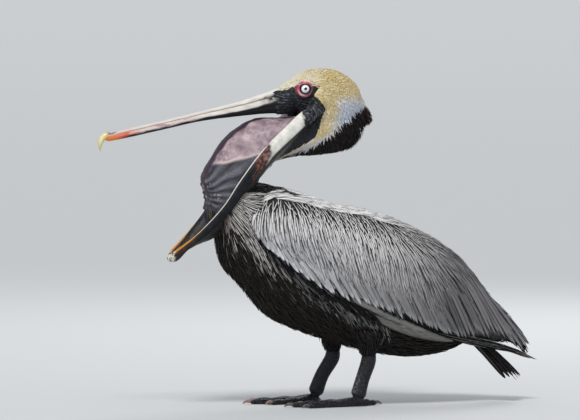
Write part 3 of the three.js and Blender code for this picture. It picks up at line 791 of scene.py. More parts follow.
def skinShade(points, normals, isFoot):
    x, y, z = points.T
    colour = np.tile(shades["brownBlack"], (len(points), 1)) * (1 + 0.3 * lumps(points, 9))[:, None]
    wing, height = onWing(points)
    grey = np.maximum(ease(0.8, 0.55, wingHeight(points)), ease(100, 150, x))
    grey *= ease(2, 12, z - lineHeight(silverEdge, x))
    under = blend((0.014, 0.0135, 0.015), (0.15, 0.145, 0.15), grey)
    colour[wing] = under[wing]
    head = (z > headTop) & (x > -75)
    colour[head] = headShade(points)[head]
    bare = insideOutline(x, z, bareFace) & (z > 340)
    black = np.tile(shades["blackSkin"], (len(points), 1)) * (1 + 0.35 * lumps(points, 4))[:, None]
    colour[bare] = black[bare]
    loose = bare & (z > 400)
    folds, fade = faceFolds(points)
    # pale blue-grey on the ridges of the bare face's folds: painted highlight
    ridge = ease(0.5, 1.0, folds) * fade * loose * (0.4 + 0.6 * ease(-0.2, 0.8, lumps(points, 9)))
    colour = blend(colour, (0.22, 0.25, 0.30), ridge * 0.9)
    # a thin pale line along the fold behind the lower bill's branch: painted highlight
    away, _ = distanceToLine(x, z, [(-18, 476), (-13, 465), (-22, 451), (-50, 428)])
    fold = np.exp(-((away / 1.0) ** 2)) * loose
    colour = blend(colour, (0.22, 0.21, 0.23), fold * 0.7)
    # pale grey speckles on the bumpy skin near the jaw: painted glints
    jawGlints = np.exp(-(((x + 20) / 12) ** 2 + ((z - 470) / 9) ** 2)) * loose
    colour = blend(colour, (0.16, 0.16, 0.19), jawGlints * ease(0.1, 0.9, lumps(points, 3.4)) * 0.8)
    for side in sides.values():
        r, h, turn, _ = eyeFrame(points, side)
        near = (h > -8).astype(float)
        oval = r / (1 + 0.1 * np.cos(turn) ** 2)
        wide = 13.2 + 1.6 * np.cos(turn) + 0.8 * np.sin(3 * turn)
        ring = (1 - ease(wide - 1.2, wide + 0.8, oval)) * near
        pink = blend((0.44, 0.06, 0.11), (0.72, 0.20, 0.25), np.clip(0.5 + 0.7 * lumps(points, 2.6), 0, 1))
        lowerRear = ease(-0.35, 0.6, -np.sin(turn) * 0.8 - np.cos(turn) * 0.5)
        pink = blend(pink, (0.10, 0.03, 0.07), lowerRear * 0.8)
        crimson = ease(-0.2, 0.8, np.cos(turn)) * ease(10, 12.5, oval)
        pink = blend(pink, (0.22, 0.02, 0.045), crimson * 0.7)
        # a pale pink patch on the lower front of the eye ring: painted highlight
        lowerFrontHighlight = np.exp(-(((turn + 0.9) / 0.6) ** 2) - (((oval - 10.6) / 1.1) ** 2))
        pink = blend(pink, (0.8, 0.62, 0.56), lowerFrontHighlight * 0.9)
        pink = blend(pink, (0.012, 0.01, 0.012), 1 - ease(8.1, 9.0, oval))
        colour = blend(colour, pink, ring)
        corner = distanceToLine(x, z, [(-18, 507), (-4.5, 511.5)])[0]
        dark = (1 - ease(1.2, 3.0, np.abs(corner))) * (r > 9.5) * near * (x > -18) * (np.sign(y) == side)
        colour = blend(colour, (0.03, 0.02, 0.022), dark * 0.9)
    legs_ = np.tile(shades["legSkin"], (len(points), 1)) * (1 + 0.3 * lumps(points, 6))[:, None]
    scales = ease(0.1, 0.7, -normals[:, 0]) * ease(0.2, 0.9, lumps(points, 2.0) + 0.3) * ease(14, 24, z)
    legs_ = blend(legs_, (0.17, 0.19, 0.22), scales * 0.6 * (1 - ease(46, 58, z)) * (y < 0))
    return np.where(isFoot[:, None], legs_, colour)


def makeSkin():
    body = remeshed("body", bodyShapes(), skin["voxel"], 7)
    refineFace(body)
    sculptHead(body)
    feet = remeshed("feet", [s for leg in legs.values() for s in footShapes(leg)], skin["footVoxel"], 2)
    sculptFeet(feet)
    bodyCount = len(body.vertices)
    bm = bmesh.new()
    bm.from_mesh(body)
    bm.from_mesh(feet)
    mesh = bpy.data.meshes.new("skin")
    bm.to_mesh(mesh)
    bm.free()
    mesh.shade_smooth()
    made = bpy.data.objects.new("skin", mesh)
    bpy.context.scene.collection.objects.link(made)
    isFoot = np.arange(len(mesh.vertices)) >= bodyCount
    setColour(mesh, "tint", skinShade(pointsOf(mesh), normalsOf(mesh), isFoot).clip(0, 1))
    return made, body


skinObject, bodyMesh = makeSkin()
print("skin:", len(skinObject.data.vertices), "points")

# materials


def shaderGroup(name, inputs, outputs):    # inputs are (name, kind, value)
    tree = bpy.data.node_groups.new(name, "ShaderNodeTree")
    for label, kind, value in inputs:
        socket = tree.interface.new_socket(label, in_out="INPUT", socket_type="NodeSocket" + kind)
        if value is not None:
            socket.default_value = value
    for label, kind in outputs:
        tree.interface.new_socket(label, in_out="OUTPUT", socket_type="NodeSocket" + kind)
    return tree, tree.nodes.new("NodeGroupInput"), tree.nodes.new("NodeGroupOutput")


def mathNode(tree, operation, first, second=None, third=None):
    node = tree.nodes.new("ShaderNodeMath")
    node.operation = operation
    for socket, value in zip(node.inputs, (first, second, third)):
        if value is None:
            continue
        if isinstance(value, (int, float)):
            socket.default_value = value
        else:
            tree.links.new(value, socket)
    return node.outputs[0]


def mixNode(tree, share, first, second, way="MIX"):
    node = tree.nodes.new("ShaderNodeMix")
    node.data_type = "RGBA"
    node.blend_type = way
    for socket, value in ((node.inputs[0], share), (node.inputs[6], first), (node.inputs[7], second)):
        if isinstance(value, (int, float)):
            socket.default_value = value
        elif isinstance(value, tuple):
            socket.default_value = (*value, 1)
        else:
            tree.links.new(value, socket)
    return node.outputs[2]


def stepNode(tree, value, low, high):    # 0 below low, 1 above high
    node = tree.nodes.new("ShaderNodeMapRange")
    node.interpolation_type = "SMOOTHSTEP"
    for socket, item in zip(node.inputs[:3], (value, low, high)):
        if isinstance(item, (int, float)):
            socket.default_value = item
        else:
            tree.links.new(item, socket)
    return node.outputs[0]


def noiseNode(tree, vector, scale, detail=3.0, stretch=None):
    if stretch is not None:
        mapping = tree.nodes.new("ShaderNodeMapping")
        mapping.inputs["Scale"].default_value = stretch
        tree.links.new(vector, mapping.inputs["Vector"])
        vector = mapping.outputs[0]
    node = tree.nodes.new("ShaderNodeTexNoise")
    node.inputs["Detail"].default_value = detail
    if isinstance(scale, (int, float)):
        node.inputs["Scale"].default_value = scale
    else:
        tree.links.new(scale, node.inputs["Scale"])
    tree.links.new(vector, node.inputs["Vector"])
    return node.outputs["Fac"]


def vaneGroup():    # a feather's rim, shaft and barbs, from its own map: across is u, along is v
    inputs = [
        ("Across", "Float", 0.5), ("Along", "Float", 0.5), ("Tint", "Color", (0.5, 0.5, 0.5, 1)),
        ("Rim", "Color", (0, 0, 0, 1)), ("Rim Width", "Float", 0.3), ("Barbs", "Float", 40.0),
        ("Open Tip", "Float", 0.0), ("Shaft", "Float", 0.3),
    ]
    tree, given, out = shaderGroup("vane", inputs, [("Color", "Color"), ("Height", "Float")])
    across, along = given.outputs["Across"], given.outputs["Along"]
    fromShaft = mathNode(tree, "ABSOLUTE", mathNode(tree, "MULTIPLY_ADD", across, 2.0, -1.0))
    inner = mathNode(tree, "SUBTRACT", 1.0, given.outputs["Rim Width"])
    start = mathNode(tree, "SUBTRACT", inner, 0.14)
    rim = stepNode(tree, fromShaft, start, mathNode(tree, "ADD", inner, 0.1))
    shaft = mathNode(tree, "SUBTRACT", 1.0, stepNode(tree, fromShaft, 0.04, 0.13))
    slant = mathNode(tree, "MULTIPLY_ADD", fromShaft, -0.22, along)
    barbs = mathNode(tree, "SINE", mathNode(tree, "MULTIPLY", slant, mathNode(tree, "MULTIPLY", given.outputs["Barbs"], 6.28)))
    tip = mathNode(tree, "MULTIPLY", stepNode(tree, along, 0.55, 0.9), given.outputs["Open Tip"])
    rim = mathNode(tree, "MULTIPLY", rim, mathNode(tree, "SUBTRACT", 1.0, tip))
    colour = mixNode(tree, rim, given.outputs["Tint"], given.outputs["Rim"])
    pale = mixNode(tree, 0.35, colour, (0.8, 0.79, 0.76))
    colour = mixNode(tree, mathNode(tree, "MULTIPLY", shaft, given.outputs["Shaft"]), colour, pale)
    shade = mathNode(tree, "MULTIPLY_ADD", barbs, 0.07, 0.93)
    shaded = mixNode(tree, 1.0, colour, (1, 1, 1), "MULTIPLY")
    node = shaded.node
    tree.links.new(shade, node.inputs[7])
    height = mathNode(tree, "MULTIPLY_ADD", barbs, 0.35, mathNode(tree, "MULTIPLY", shaft, 0.8))
    tree.links.new(shaded, out.inputs["Color"])
    tree.links.new(height, out.inputs["Height"])
    return tree


def leatherGroup():    # pores and fine creases of bare skin and horn
    inputs = [
        ("Vector", "Vector", None), ("Tint", "Color", (0.5, 0.5, 0.5, 1)), ("Scale", "Float", 400.0),
        ("Patchiness", "Float", 0.3),
    ]
    tree, given, out = shaderGroup("leather", inputs, [("Color", "Color"), ("Height", "Float"), ("Wear", "Float")])
    grain = tree.nodes.new("ShaderNodeTexVoronoi")
    grain.feature = "DISTANCE_TO_EDGE"
    tree.links.new(given.outputs["Vector"], grain.inputs["Vector"])
    tree.links.new(given.outputs["Scale"], grain.inputs["Scale"])
    cells = stepNode(tree, grain.outputs["Distance"], 0.0, 0.28)
    coarse = noiseNode(tree, given.outputs["Vector"], mathNode(tree, "MULTIPLY", given.outputs["Scale"], 0.22), 5.0)
    height = mathNode(tree, "MULTIPLY_ADD", cells, 0.5, coarse)
    dim = mathNode(tree, "MULTIPLY_ADD", coarse, given.outputs["Patchiness"], 1.0)
    dim = mathNode(tree, "MULTIPLY_ADD", given.outputs["Patchiness"], -0.5, dim)
    shaded = mixNode(tree, 1.0, given.outputs["Tint"], (1, 1, 1), "MULTIPLY")
    tree.links.new(dim, shaded.node.inputs[7])
    tree.links.new(shaded, out.inputs["Color"])
    tree.links.new(height, out.inputs["Height"])
    tree.links.new(coarse, out.inputs["Wear"])
    return tree


vaneMarks = vaneGroup()
leatherMarks = leatherGroup()


def groupNode(tree, group, values):
    node = tree.nodes.new("ShaderNodeGroup")
    node.node_tree = group
    for label, value in values.items():
        if isinstance(value, (int, float)):
            node.inputs[label].default_value = value
        else:
            tree.links.new(value, node.inputs[label])
    return node


def attributeNode(tree, name):
    node = tree.nodes.new("ShaderNodeAttribute")
    node.attribute_name = name
    return node


def newMaterial(name, settings):    # settings are the Principled shader's own sockets
    material = bpy.data.materials.new(name)
    material.use_nodes = True
    shader = material.node_tree.nodes["Principled BSDF"]
    for label, value in settings.items():
        shader.inputs[label].default_value = value
    return material, material.node_tree, shader


def bump(tree, shader, height, distance, strength=1.0):
    node = tree.nodes.new("ShaderNodeBump")
    node.inputs["Strength"].default_value = strength
    node.inputs["Distance"].default_value = distance
    tree.links.new(height, node.inputs["Height"])
    tree.links.new(node.outputs[0], shader.inputs["Normal"])


def featherMaterial(name, barbs, roughness, depth, gloss=0.35, openTip=0.0, shaft=0.3):
    material, tree, shader = newMaterial(name, {"Specular IOR Level": gloss})
    place = tree.nodes.new("ShaderNodeUVMap")
    place.uv_map = "vane"
    split = tree.nodes.new("ShaderNodeSeparateXYZ")
    tree.links.new(place.outputs[0], split.inputs[0])
    tint, rim = attributeNode(tree, "tint"), attributeNode(tree, "rim")
    marks = groupNode(tree, vaneMarks, {
        "Across": split.outputs[0], "Along": split.outputs[1], "Tint": tint.outputs["Color"],
        "Rim": rim.outputs["Color"], "Rim Width": rim.outputs["Alpha"], "Barbs": barbs, "Open Tip": openTip,
        "Shaft": shaft,
    })
    own = tree.nodes.new("ShaderNodeTexCoord")
    dust = noiseNode(tree, own.outputs["Object"], 160.0)
    tree.links.new(marks.outputs["Color"], shader.inputs["Base Color"])
    matt = tree.nodes.new("ShaderNodeMapRange")
    matt.inputs["To Min"].default_value, matt.inputs["To Max"].default_value = roughness
    tree.links.new(dust, matt.inputs[0])
    tree.links.new(matt.outputs[0], shader.inputs["Roughness"])
    bump(tree, shader, marks.outputs["Height"], depth)
    return material


def leatherMaterial(name, scale, patchiness, roughness, depth, settings=None):
    material, tree, shader = newMaterial(name, settings or {})
    own = tree.nodes.new("ShaderNodeTexCoord")
    tint = attributeNode(tree, "tint")
    marks = groupNode(tree, leatherMarks, {
        "Vector": own.outputs["Object"], "Tint": tint.outputs["Color"], "Scale": scale, "Patchiness": patchiness,
    })
    tree.links.new(marks.outputs["Color"], shader.inputs["Base Color"])
    gloss = tree.nodes.new("ShaderNodeMapRange")
    gloss.inputs["From Min"].default_value, gloss.inputs["From Max"].default_value = 0.3, 0.7
    gloss.inputs["To Min"].default_value, gloss.inputs["To Max"].default_value = roughness
    tree.links.new(marks.outputs["Wear"], gloss.inputs[0])
    tree.links.new(gloss.outputs[0], shader.inputs["Roughness"])
    bump(tree, shader, marks.outputs["Height"], depth)
    return material


skinObject.data.materials.append(leatherMaterial("bareSkin", 900.0, 0.5, (0.18, 0.38), 0.0004, {"Specular IOR Level": 0.34}))

# the bill


def hornShade(points, angle, t):    # the upper bill: angle round it, 90 degrees on top
    x = points[:, 0]
    sine = np.sin(angle)
    fromTop = np.degrees(np.arccos(np.clip(sine, -1, 1)))
    mottle = 0.5 + 0.5 * lumps(points * [0.5, 1, 1], 5)
    ivory = blend((0.74, 0.71, 0.66), (0.56, 0.52, 0.47), mottle)
    # paler along the top of the upper bill: painted highlight
    ivory = blend(ivory, (0.82, 0.79, 0.75), (1 - ease(20, 40, fromTop)) * 0.7)
    rosy = blend((0.50, 0.30, 0.31), (0.70, 0.55, 0.54), mottle)
    flank = ease(52, 66, fromTop)
    colour = blend(ivory, rosy, (1 - ease(-250, -150, x)) * (0.25 + 0.65 * mottle) * (0.35 + 0.65 * flank))
    smoky = ease(0.0, 0.6, lumps(points * [0.4, 1, 1], 3.2)) * (1 - ease(-250, -180, x)) * flank
    colour = blend(colour, (0.27, 0.15, 0.19), smoky * 0.7)
    red = (1 - ease(-318, -296, x + 8 * lumps(points, 8))) * (0.15 + 0.85 * ease(46, 70, fromTop))
    colour = blend(colour, (0.66, 0.11, 0.05), red * 0.9)
    orange = (1 - ease(-340, -322, x)) * ease(78, 96, fromTop)
    colour = blend(colour, (0.75, 0.25, 0.02), orange * 0.8)
    groove = np.exp(-(((fromTop - 52) / 4.5) ** 2))
    colour = blend(colour, (0.16, 0.08, 0.04), groove * 0.85 * ease(-352, -330, x))
    lower = 96 + 12 * (1 - ease(-260, -110, x)) + 4 * lumps(points, 11) - 16 * ease(-130, -70, x)
    dark = ease(lower - 5, lower + 5, fromTop)
    colour = blend(colour, (0.012, 0.012, 0.015), dark * ease(-338, -312, x))
    base = ease(-112, -74, x + 9 * lumps(points, 9) - 0.25 * (fromTop - 50)) * ease(34, 46, fromTop)
    speckled = 0.5 + 0.5 * ease(-0.35, 0.15, lumps(points, 4)) * (1 - ease(-74, -66, x))
    speckled = np.maximum(speckled, ease(-74, -66, x))
    colour = blend(colour, (0.018, 0.018, 0.023), base * speckled)
    colour = blend(colour, (0.018, 0.018, 0.023), ease(-66, -60, x) * ease(16, 26, fromTop))
    patch = (1 - ease(26, 46, fromTop)) * (1 - ease(-336, -326, x + 0.25 * fromTop))
    return blend(colour, (0.035, 0.015, 0.022), patch * 0.9)


def makeUpperBill():
    rings, around = 260, 96
    ring, poles = midlineRings(upperBillStations, rings, around, 0.04, 0.1)
    angle = np.arange(around) * 2 * math.pi / around
    fromTop = np.degrees(np.arccos(np.clip(np.sin(angle), -1, 1)))
    centre = ring.mean(1, keepdims=True)
    x = centre[:, :, 0]
    groove = np.exp(-(((fromTop - 52) / 4) ** 2)) * 0.10 * ease(-356, -340, x)
    ledge = np.exp(-(((fromTop - 104) / 5) ** 2)) * 0.06
    under = ease(140, 175, fromTop) * 0.35 * ease(-350, -320, x) * ease(0, 1, (-40 - x) / 60)
    wide = 1 - 0.10 * np.exp(-(((fromTop - 70) / 16) ** 2)) * ease(-120, -220, x)
    shape = (1 - groove - ledge - under) * wide
    ring = centre + (ring - centre) * shape[..., None]
    flat = ring.reshape(-1, 3)
    off = (flat - np.repeat(centre[:, 0], around, 0))
    flat = flat + unit(off) * (0.12 * lumps(flat * [0.25, 1, 1], 2.2))[:, None]
    points, quads, tris = tube(flat.reshape(ring.shape), *poles)
    made = meshObject("upper_bill_horn", points, quads, tris)
    turn = np.concatenate([np.tile(angle, rings), [0, 0]])
    setColour(made.data, "tint", hornShade(points, turn, None).clip(0, 1))
    made.data.materials.append(leatherMaterial("billHorn", 420.0, 0.25, (0.36, 0.56), 0.00012, {"Specular IOR Level": 0.16}))
    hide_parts("upper_bill")
    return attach(made, "root")


def makeNail():
    rings, around = 70, 40
    v = (np.arange(rings) + 0.5) / rings
    rows = smoothAt(nailStations, v)
    tangent = unit(smoothAt(nailStations, v + 1e-3)[:, :2] - smoothAt(nailStations, v - 1e-3)[:, :2])
    out = np.stack([tangent[:, 1], np.zeros(rings), -tangent[:, 0]], -1)
    round_ = endRounding(v, 0.25, 0.3)[:, None]
    angle = np.arange(around) * 2 * math.pi / around
    centre = np.stack([rows[:, 0], np.zeros(rings), rows[:, 1]], -1)
    ring = centre[:, None] + out[:, None] * (np.sin(angle) * rows[:, 2:3] * round_)[..., None]
    ring[..., 1] += np.cos(angle) * rows[:, 3:4] * round_
    ends = [np.array([s[0], 0, s[1]], float) for s in (nailStations[0], nailStations[-1])]
    points, quads, tris = tube(ring, *ends)
    made = meshObject("nail_horn_tip", points, quads, tris)
    tone = 0.5 + 0.5 * lumps(points, 6)
    colour = blend((0.62, 0.55, 0.2), (0.78, 0.74, 0.5), tone)
    top = ease(-352, -344, points[:, 0]) * ease(430, 434, points[:, 2])
    colour = blend(colour, (0.05, 0.03, 0.02), top * 0.7)
    setColour(made.data, "tint", colour)
    made.data.materials.append(leatherMaterial("nailHorn", 300.0, 0.2, (0.22, 0.36), 0.00006))
    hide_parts("bill_nail")
    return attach(made, "root")


def branchShade(points, angle):
    x = points[:, 0]
    tone = 0.5 + 0.5 * lumps(points, 5)
    top = np.sin(angle)
    ivory = blend((0.78, 0.77, 0.72), (0.62, 0.60, 0.55), tone)
    speck = ease(0.0, 0.7, lumps(points, 2.2) + 0.5 * lumps(points, 6))
    rust = blend((0.04, 0.028, 0.03), (0.27, 0.095, 0.06), speck)
    slate = blend((0.006, 0.0065, 0.009), (0.014, 0.015, 0.019), tone)
    colour = blend(rust, ivory, ease(-101, -89, x + 5 * lumps(points, 6) - 4 * top))
    colour = blend(slate, colour, ease(-128, -108, x + 7 * lumps(points, 7)))
    tip = 1 - ease(-222, -196, x)
    brown = blend((0.02, 0.016, 0.015), (0.045, 0.028, 0.02), tone)
    colour = blend(colour, brown, tip)
    edge = ease(0.8, 0.93, top) * (1 - ease(-105, -92, x))
    rim = blend((0.70, 0.68, 0.64), (0.66, 0.52, 0.28), 1 - ease(-205, -188, x))
    rim = blend(rim, (0.62, 0.26, 0.04), 1 - ease(-218, -204, x))
    edge = np.maximum(edge, tip * ease(0.45, 0.85, top) * (1 - ease(-218, -206, x)))
    colour = blend(colour, rim, edge)
    knob = 1 - ease(-243, -238, x)
    colour = blend(colour, blend((0.60, 0.57, 0.47), (0.05, 0.035, 0.03), lumps(points, 3.0) > 0.35), knob)
    lower = ease(-0.62, -0.85, top) * ease(-100, -88, x)
    colour = blend(colour, (0.02, 0.019, 0.022), lower)
    return blend(colour, (0.015, 0.015, 0.018), ease(-39, -33, x + 2.5 * lumps(points, 4)))


def makeBranch(name, side):
    rings, around = 240, 48
    v = (np.arange(rings) + 0.5) / rings
    rows = smoothAt(branchStations, v)
    tangent = unit(smoothAt(branchStations, v + 1e-3)[:, :3] - smoothAt(branchStations, v - 1e-3)[:, :3])
    outward = unit(np.array([0, -1.0, 0]) + tangent * tangent[:, 1:2])
    rise = np.cross(outward, tangent)
    rise *= np.sign(rise[:, 2:3])
    round_ = endRounding(v, 0.05, 0.04)[:, None]
    angle = np.arange(around) * 2 * math.pi / around
    sine, cosine = np.sin(angle), np.cos(angle)
    keel = np.sign(sine) * np.abs(sine) ** 0.8
    thin = 1 - 0.35 * ease(0.2, 1.0, sine)    # the upper edge is the thinner one
    rows[:, 3:5] *= 1 - 0.3 * ease(0.93, 1.0, v)[:, None]
    ring = rows[:, None, :3] + rise[:, None] * (keel * rows[:, 3:4] * round_)[..., None]
    ring = ring + outward[:, None] * (cosine * thin * rows[:, 4:5] * round_)[..., None]
    flat = ring.reshape(-1, 3)
    flat = flat + np.repeat(outward, around, 0) * (0.16 * lumps(flat, 5) * np.tile(cosine, rings))[:, None]
    inner = np.minimum(flat[:, 1], -0.3)    # the branches meet at the tip without crossing
    flat[:, 1] = inner
    ends = smoothAt(branchStations, [0, 1])[:, :3]
    points, quads, tris = tube(flat.reshape(ring.shape), *ends)
    turn = np.concatenate([np.tile(angle, rings), [0, 0]])
    colour = branchShade(points, turn).clip(0, 1)
    if side > 0:
        points, quads, tris = mirrorShape((points, quads, tris))
    made = meshObject("lower_bill_horn_" + name, points, quads, tris)
    setColour(made.data, "tint", colour)
    made.data.materials.append(bpy.data.materials["billHorn"])
    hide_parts("lower_bill_" + name)
    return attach(made, "root")


# the pouch

pouch = {
    "rings": 300,
    "around": 260,
    "trough": 15.0,    # how deep the open part is hollowed
    "apex": (236, 42),    # along and above the lower bill, where the long folds meet
    "foldHeight": 2.8,
    "folds": 11.0,    # how closely the long folds fan out
}


def makePouch():
    rings, around = pouch["rings"], pouch["around"]
    ring = pouchRings(pouchStations, rings, around, 0.05, 0.05)
    angle = np.arange(around) * 2 * math.pi / around
    distance = (ring.mean(1) - jawHinge) @ billAlong
    sine = np.sin(angle)
    open_ = ease(232, 250, distance)[:, None] * (1 - ease(296, 316, distance))[:, None]
    wide = smoothAtX(pouchStations, distance)[2]
    rise = (ring - jawHinge) @ billRise
    hollow = -pouch["trough"] * np.clip(sine, 0, 1) ** 0.8
    rise = np.where(sine > 0, rise * (1 - open_) + hollow * open_, rise)
    ring = jawHinge + billAlong * distance[:, None, None] + billRise * rise[..., None] + ring * [0, 1, 0]
    flat = ring.reshape(-1, 3)
    d, h, y = (flat - jawHinge) @ billAlong, (flat - jawHinge) @ billRise, flat[:, 1]
    x, z = flat[:, 0], flat[:, 2]
    across = np.abs(y) / np.repeat(wide, around)
    bound = 384 + (x + 191) * 0.215 + 2.5 * lumps(flat, 20)    # mauve above, slate below
    slate = 1 - ease(-2.5, 2.5, z - bound)
    top = np.tile(sine > 0, rings)
    apexD, apexH = pouch["apex"]
    spanD, spanH = apexD - d, apexH - h
    reach = np.hypot(spanD, spanH)
    fan = np.degrees(np.arctan2(spanH, spanD)) + 3.5 * lumps(flat, 26) + 3 * np.sign(y)
    pleat = np.abs(np.sin(np.radians(fan) * pouch["folds"])) ** 0.7    # 0 in a crease, 1 on a fold
    window = slate * ease(6, 30, reach) * (1 - ease(125, 170, reach)) * ease(2, 10, h) * top
    window *= 0.55 + 0.45 * ease(-0.5, 0.5, lumps(flat, 22))
    shift = pouch["foldHeight"] * (pleat - 0.6) * window
    stripes = np.sin((d * 0.92 + h * 0.4) * 2 * math.pi / 2.9 + 2.2 * lumps(flat, 7))
    stripeShare = slate * top * (0.3 + 0.7 * ease(-0.3, 0.6, lumps(flat, 12)))
    shift += 0.34 * stripes * stripeShare
    shift += 0.30 * lumps(flat, 5) + 0.5 * lumps(flat, 15) * top * (1 - open_.repeat(around, 1).ravel())
    seam = np.exp(-(((z - bound - 1.5) / 2.4) ** 2)) * top * ease(0.3, 0.6, across)
    shift += 1.1 * seam * ease(-110, -150, x)
    front = ease(200, 218, d) * (1 - ease(242, 252, d)) * top
    shift += front * (2.2 * lumps(flat, 7) + 1.0 * np.abs(lumps(flat, 3.4)))
    nearRim = ease(0.9, 0.99, across)
    edges = np.roll(ring, -1, 1) - np.roll(ring, 1, 1)
    forward = np.gradient(ring, axis=0)
    normal = unit(np.cross(edges, forward)).reshape(-1, 3)
    middle = np.repeat(ring.mean(1), around, 0)
    normal *= np.sign(((flat - middle) * normal).sum(1, keepdims=True) * np.where(top & (d > 236), -1, 1)[:, None])
    flat = flat + normal * (shift * (1 - nearRim))[:, None]
    points, quads, tris = tube(
        flat.reshape(ring.shape), jawHinge + billAlong * pouchStations[0][0], jawHinge + billAlong * pouchStations[-1][0]
    )
    made = meshObject("pouch_membrane", points, quads, tris)
    mauve = blend((0.26, 0.18, 0.21), (0.47, 0.35, 0.38), 0.5 + 0.6 * lumps(flat, 9))
    mauve = blend(mauve, (0.20, 0.145, 0.18), ease(0.0, 0.8, lumps(flat, 3.2) + 0.5 * lumps(flat, 16)) * 0.7)
    # pale spots on the front of the dome: painted highlights
    mauve = blend(mauve, (0.66, 0.56, 0.57), ease(0.35, 0.9, lumps(flat, 2.4)) * ease(-130, -160, x) * 0.6)
    # pale along the seam's ridge: painted highlight
    mauve = blend(mauve, (0.62, 0.5, 0.49), np.clip(seam * 1.2, 0, 1) * 0.8)
    grey = blend((0.02, 0.021, 0.032), (0.05, 0.049, 0.068), 0.5 + 0.5 * lumps(flat, 8))
    # pale on the fold tops: painted highlight; near black in the creases: painted shade
    grey = blend(grey, (0.17, 0.16, 0.195), ease(0.75, 1.0, pleat) * window * 0.75)
    grey = blend(grey, (0.008, 0.008, 0.012), (1 - ease(0.15, 0.5, pleat)) * window)
    # darker in the troughs of the fine stripes: painted shade
    grey = blend(grey, (0.03, 0.03, 0.04), ease(0.2, 0.9, -stripes) * stripeShare * 0.7)
    colour = blend(mauve, grey, slate)
    # a dark purple band along the middle of the dome's top: painted shade of its far side, laid on both sides alike
    crest = (1 - ease(0.27, 0.38, across + 0.05 * lumps(flat, 14))) * top * (1 - ease(214, 232, d))
    colour = blend(colour, (0.036, 0.018, 0.036), crest)
    nubs = front * ease(0.45, 0.9, lumps(flat, 4)) * ease(326, 338, z)
    colour = blend(colour, (0.55, 0.42, 0.42), nubs * 0.8)
    # near black inside the open trough between the branches: painted shade
    inside = open_.repeat(around, 1).ravel() * top
    colour = blend(colour, (0.02, 0.02, 0.024), inside)
    below = blend((0.014, 0.0135, 0.016), (0.03, 0.024, 0.02), 0.5 + 0.5 * lumps(flat, 10))
    colour = blend(colour, below, (~top).astype(float))
    colour = np.concatenate([colour, colour[:1], colour[-1:]])
    setColour(made.data, "tint", colour.clip(0, 1))
    made.data.materials.append(leatherMaterial("pouchSkin", 700.0, 0.35, (0.36, 0.55), 0.0003))
    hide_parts("pouch")
    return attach(made, "root")


# the eyes


def irisMaterial():
    material, tree, shader = newMaterial("eyeball", {"Coat Roughness": 0.02, "Coat Weight": 1.0, "Roughness": 0.25})
    ring = attributeNode(tree, "ring")
    ramp = tree.nodes.new("ShaderNodeValToRGB")
    ramp.color_ramp.elements[0].color = (0.003, 0.003, 0.003, 1)
    ramp.color_ramp.elements[0].position = 0.245
    ramp.color_ramp.elements[1].color = (0.012, 0.01, 0.01, 1)
    ramp.color_ramp.elements[1].position = 0.80
    for place, colour in ((0.275, (0.62, 0.68, 0.7)), (0.40, (0.86, 0.88, 0.88)), (0.66, (0.82, 0.85, 0.86)), (0.73, (0.3, 0.34, 0.36))):
        stop = ramp.color_ramp.elements.new(place)
        stop.color = (*colour, 1)
    own = tree.nodes.new("ShaderNodeTexCoord")
    fibres = noiseNode(tree, own.outputs["Object"], 900.0, 4.0)
    wobble = mathNode(tree, "MULTIPLY_ADD", fibres, 0.05, mathNode(tree, "SUBTRACT", ring.outputs["Fac"], 0.025))
    tree.links.new(wobble, ramp.inputs[0])
    tree.links.new(ramp.outputs[0], shader.inputs["Base Color"])
    bump(tree, shader, fibres, 0.00004)
    return material


def makeEyes():
    iris = irisMaterial()
    for name, side in sides.items():
        axis = unit(eye["axis"] * [1, side, 1])
        centre = eye["place"] * [1, side, 1]
        rings, around = 60, 64
        polar = (np.arange(rings) + 0.5) / rings * math.pi
        turn = np.arange(around) * 2 * math.pi / around
        first = unit(np.cross(axis, [0, 0, 1.0]))
        second = np.cross(axis, first)
        bulge = 1 + 0.05 * (1 - ease(0.3, 0.75, polar))    # the clear front stands a little proud
        rim = first * np.cos(turn)[:, None] + second * np.sin(turn)[:, None]
        ring = centre + eye["radius"] * (
            axis * (np.cos(polar) * bulge)[:, None, None] + rim * (np.sin(polar) * bulge)[:, None, None]
        )
        ends = [centre + axis * eye["radius"] * 1.05, centre - axis * eye["radius"]]
        points, quads, tris = tube(ring, *ends)
        made = meshObject("eyeball_" + name, points, quads, tris)
        away = np.concatenate([np.repeat(np.where(polar < 1.57, np.sin(polar), 1.0), around), [0, 1]])
        layer = made.data.attributes.new("ring", "FLOAT", "POINT")
        layer.data.foreach_set("value", away.astype(np.float32))
        made.data.materials.append(iris)
        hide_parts("eye_" + name)
        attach(made, "root")


makeUpperBill()
makeNail()
for branchName, branchSide in sides.items():
    makeBranch(branchName, branchSide)
makePouch()
makeEyes()
print("bill, pouch and eyes ready")

# the coat: closed vanes rooted in the skin, combed along strokes seen from the side

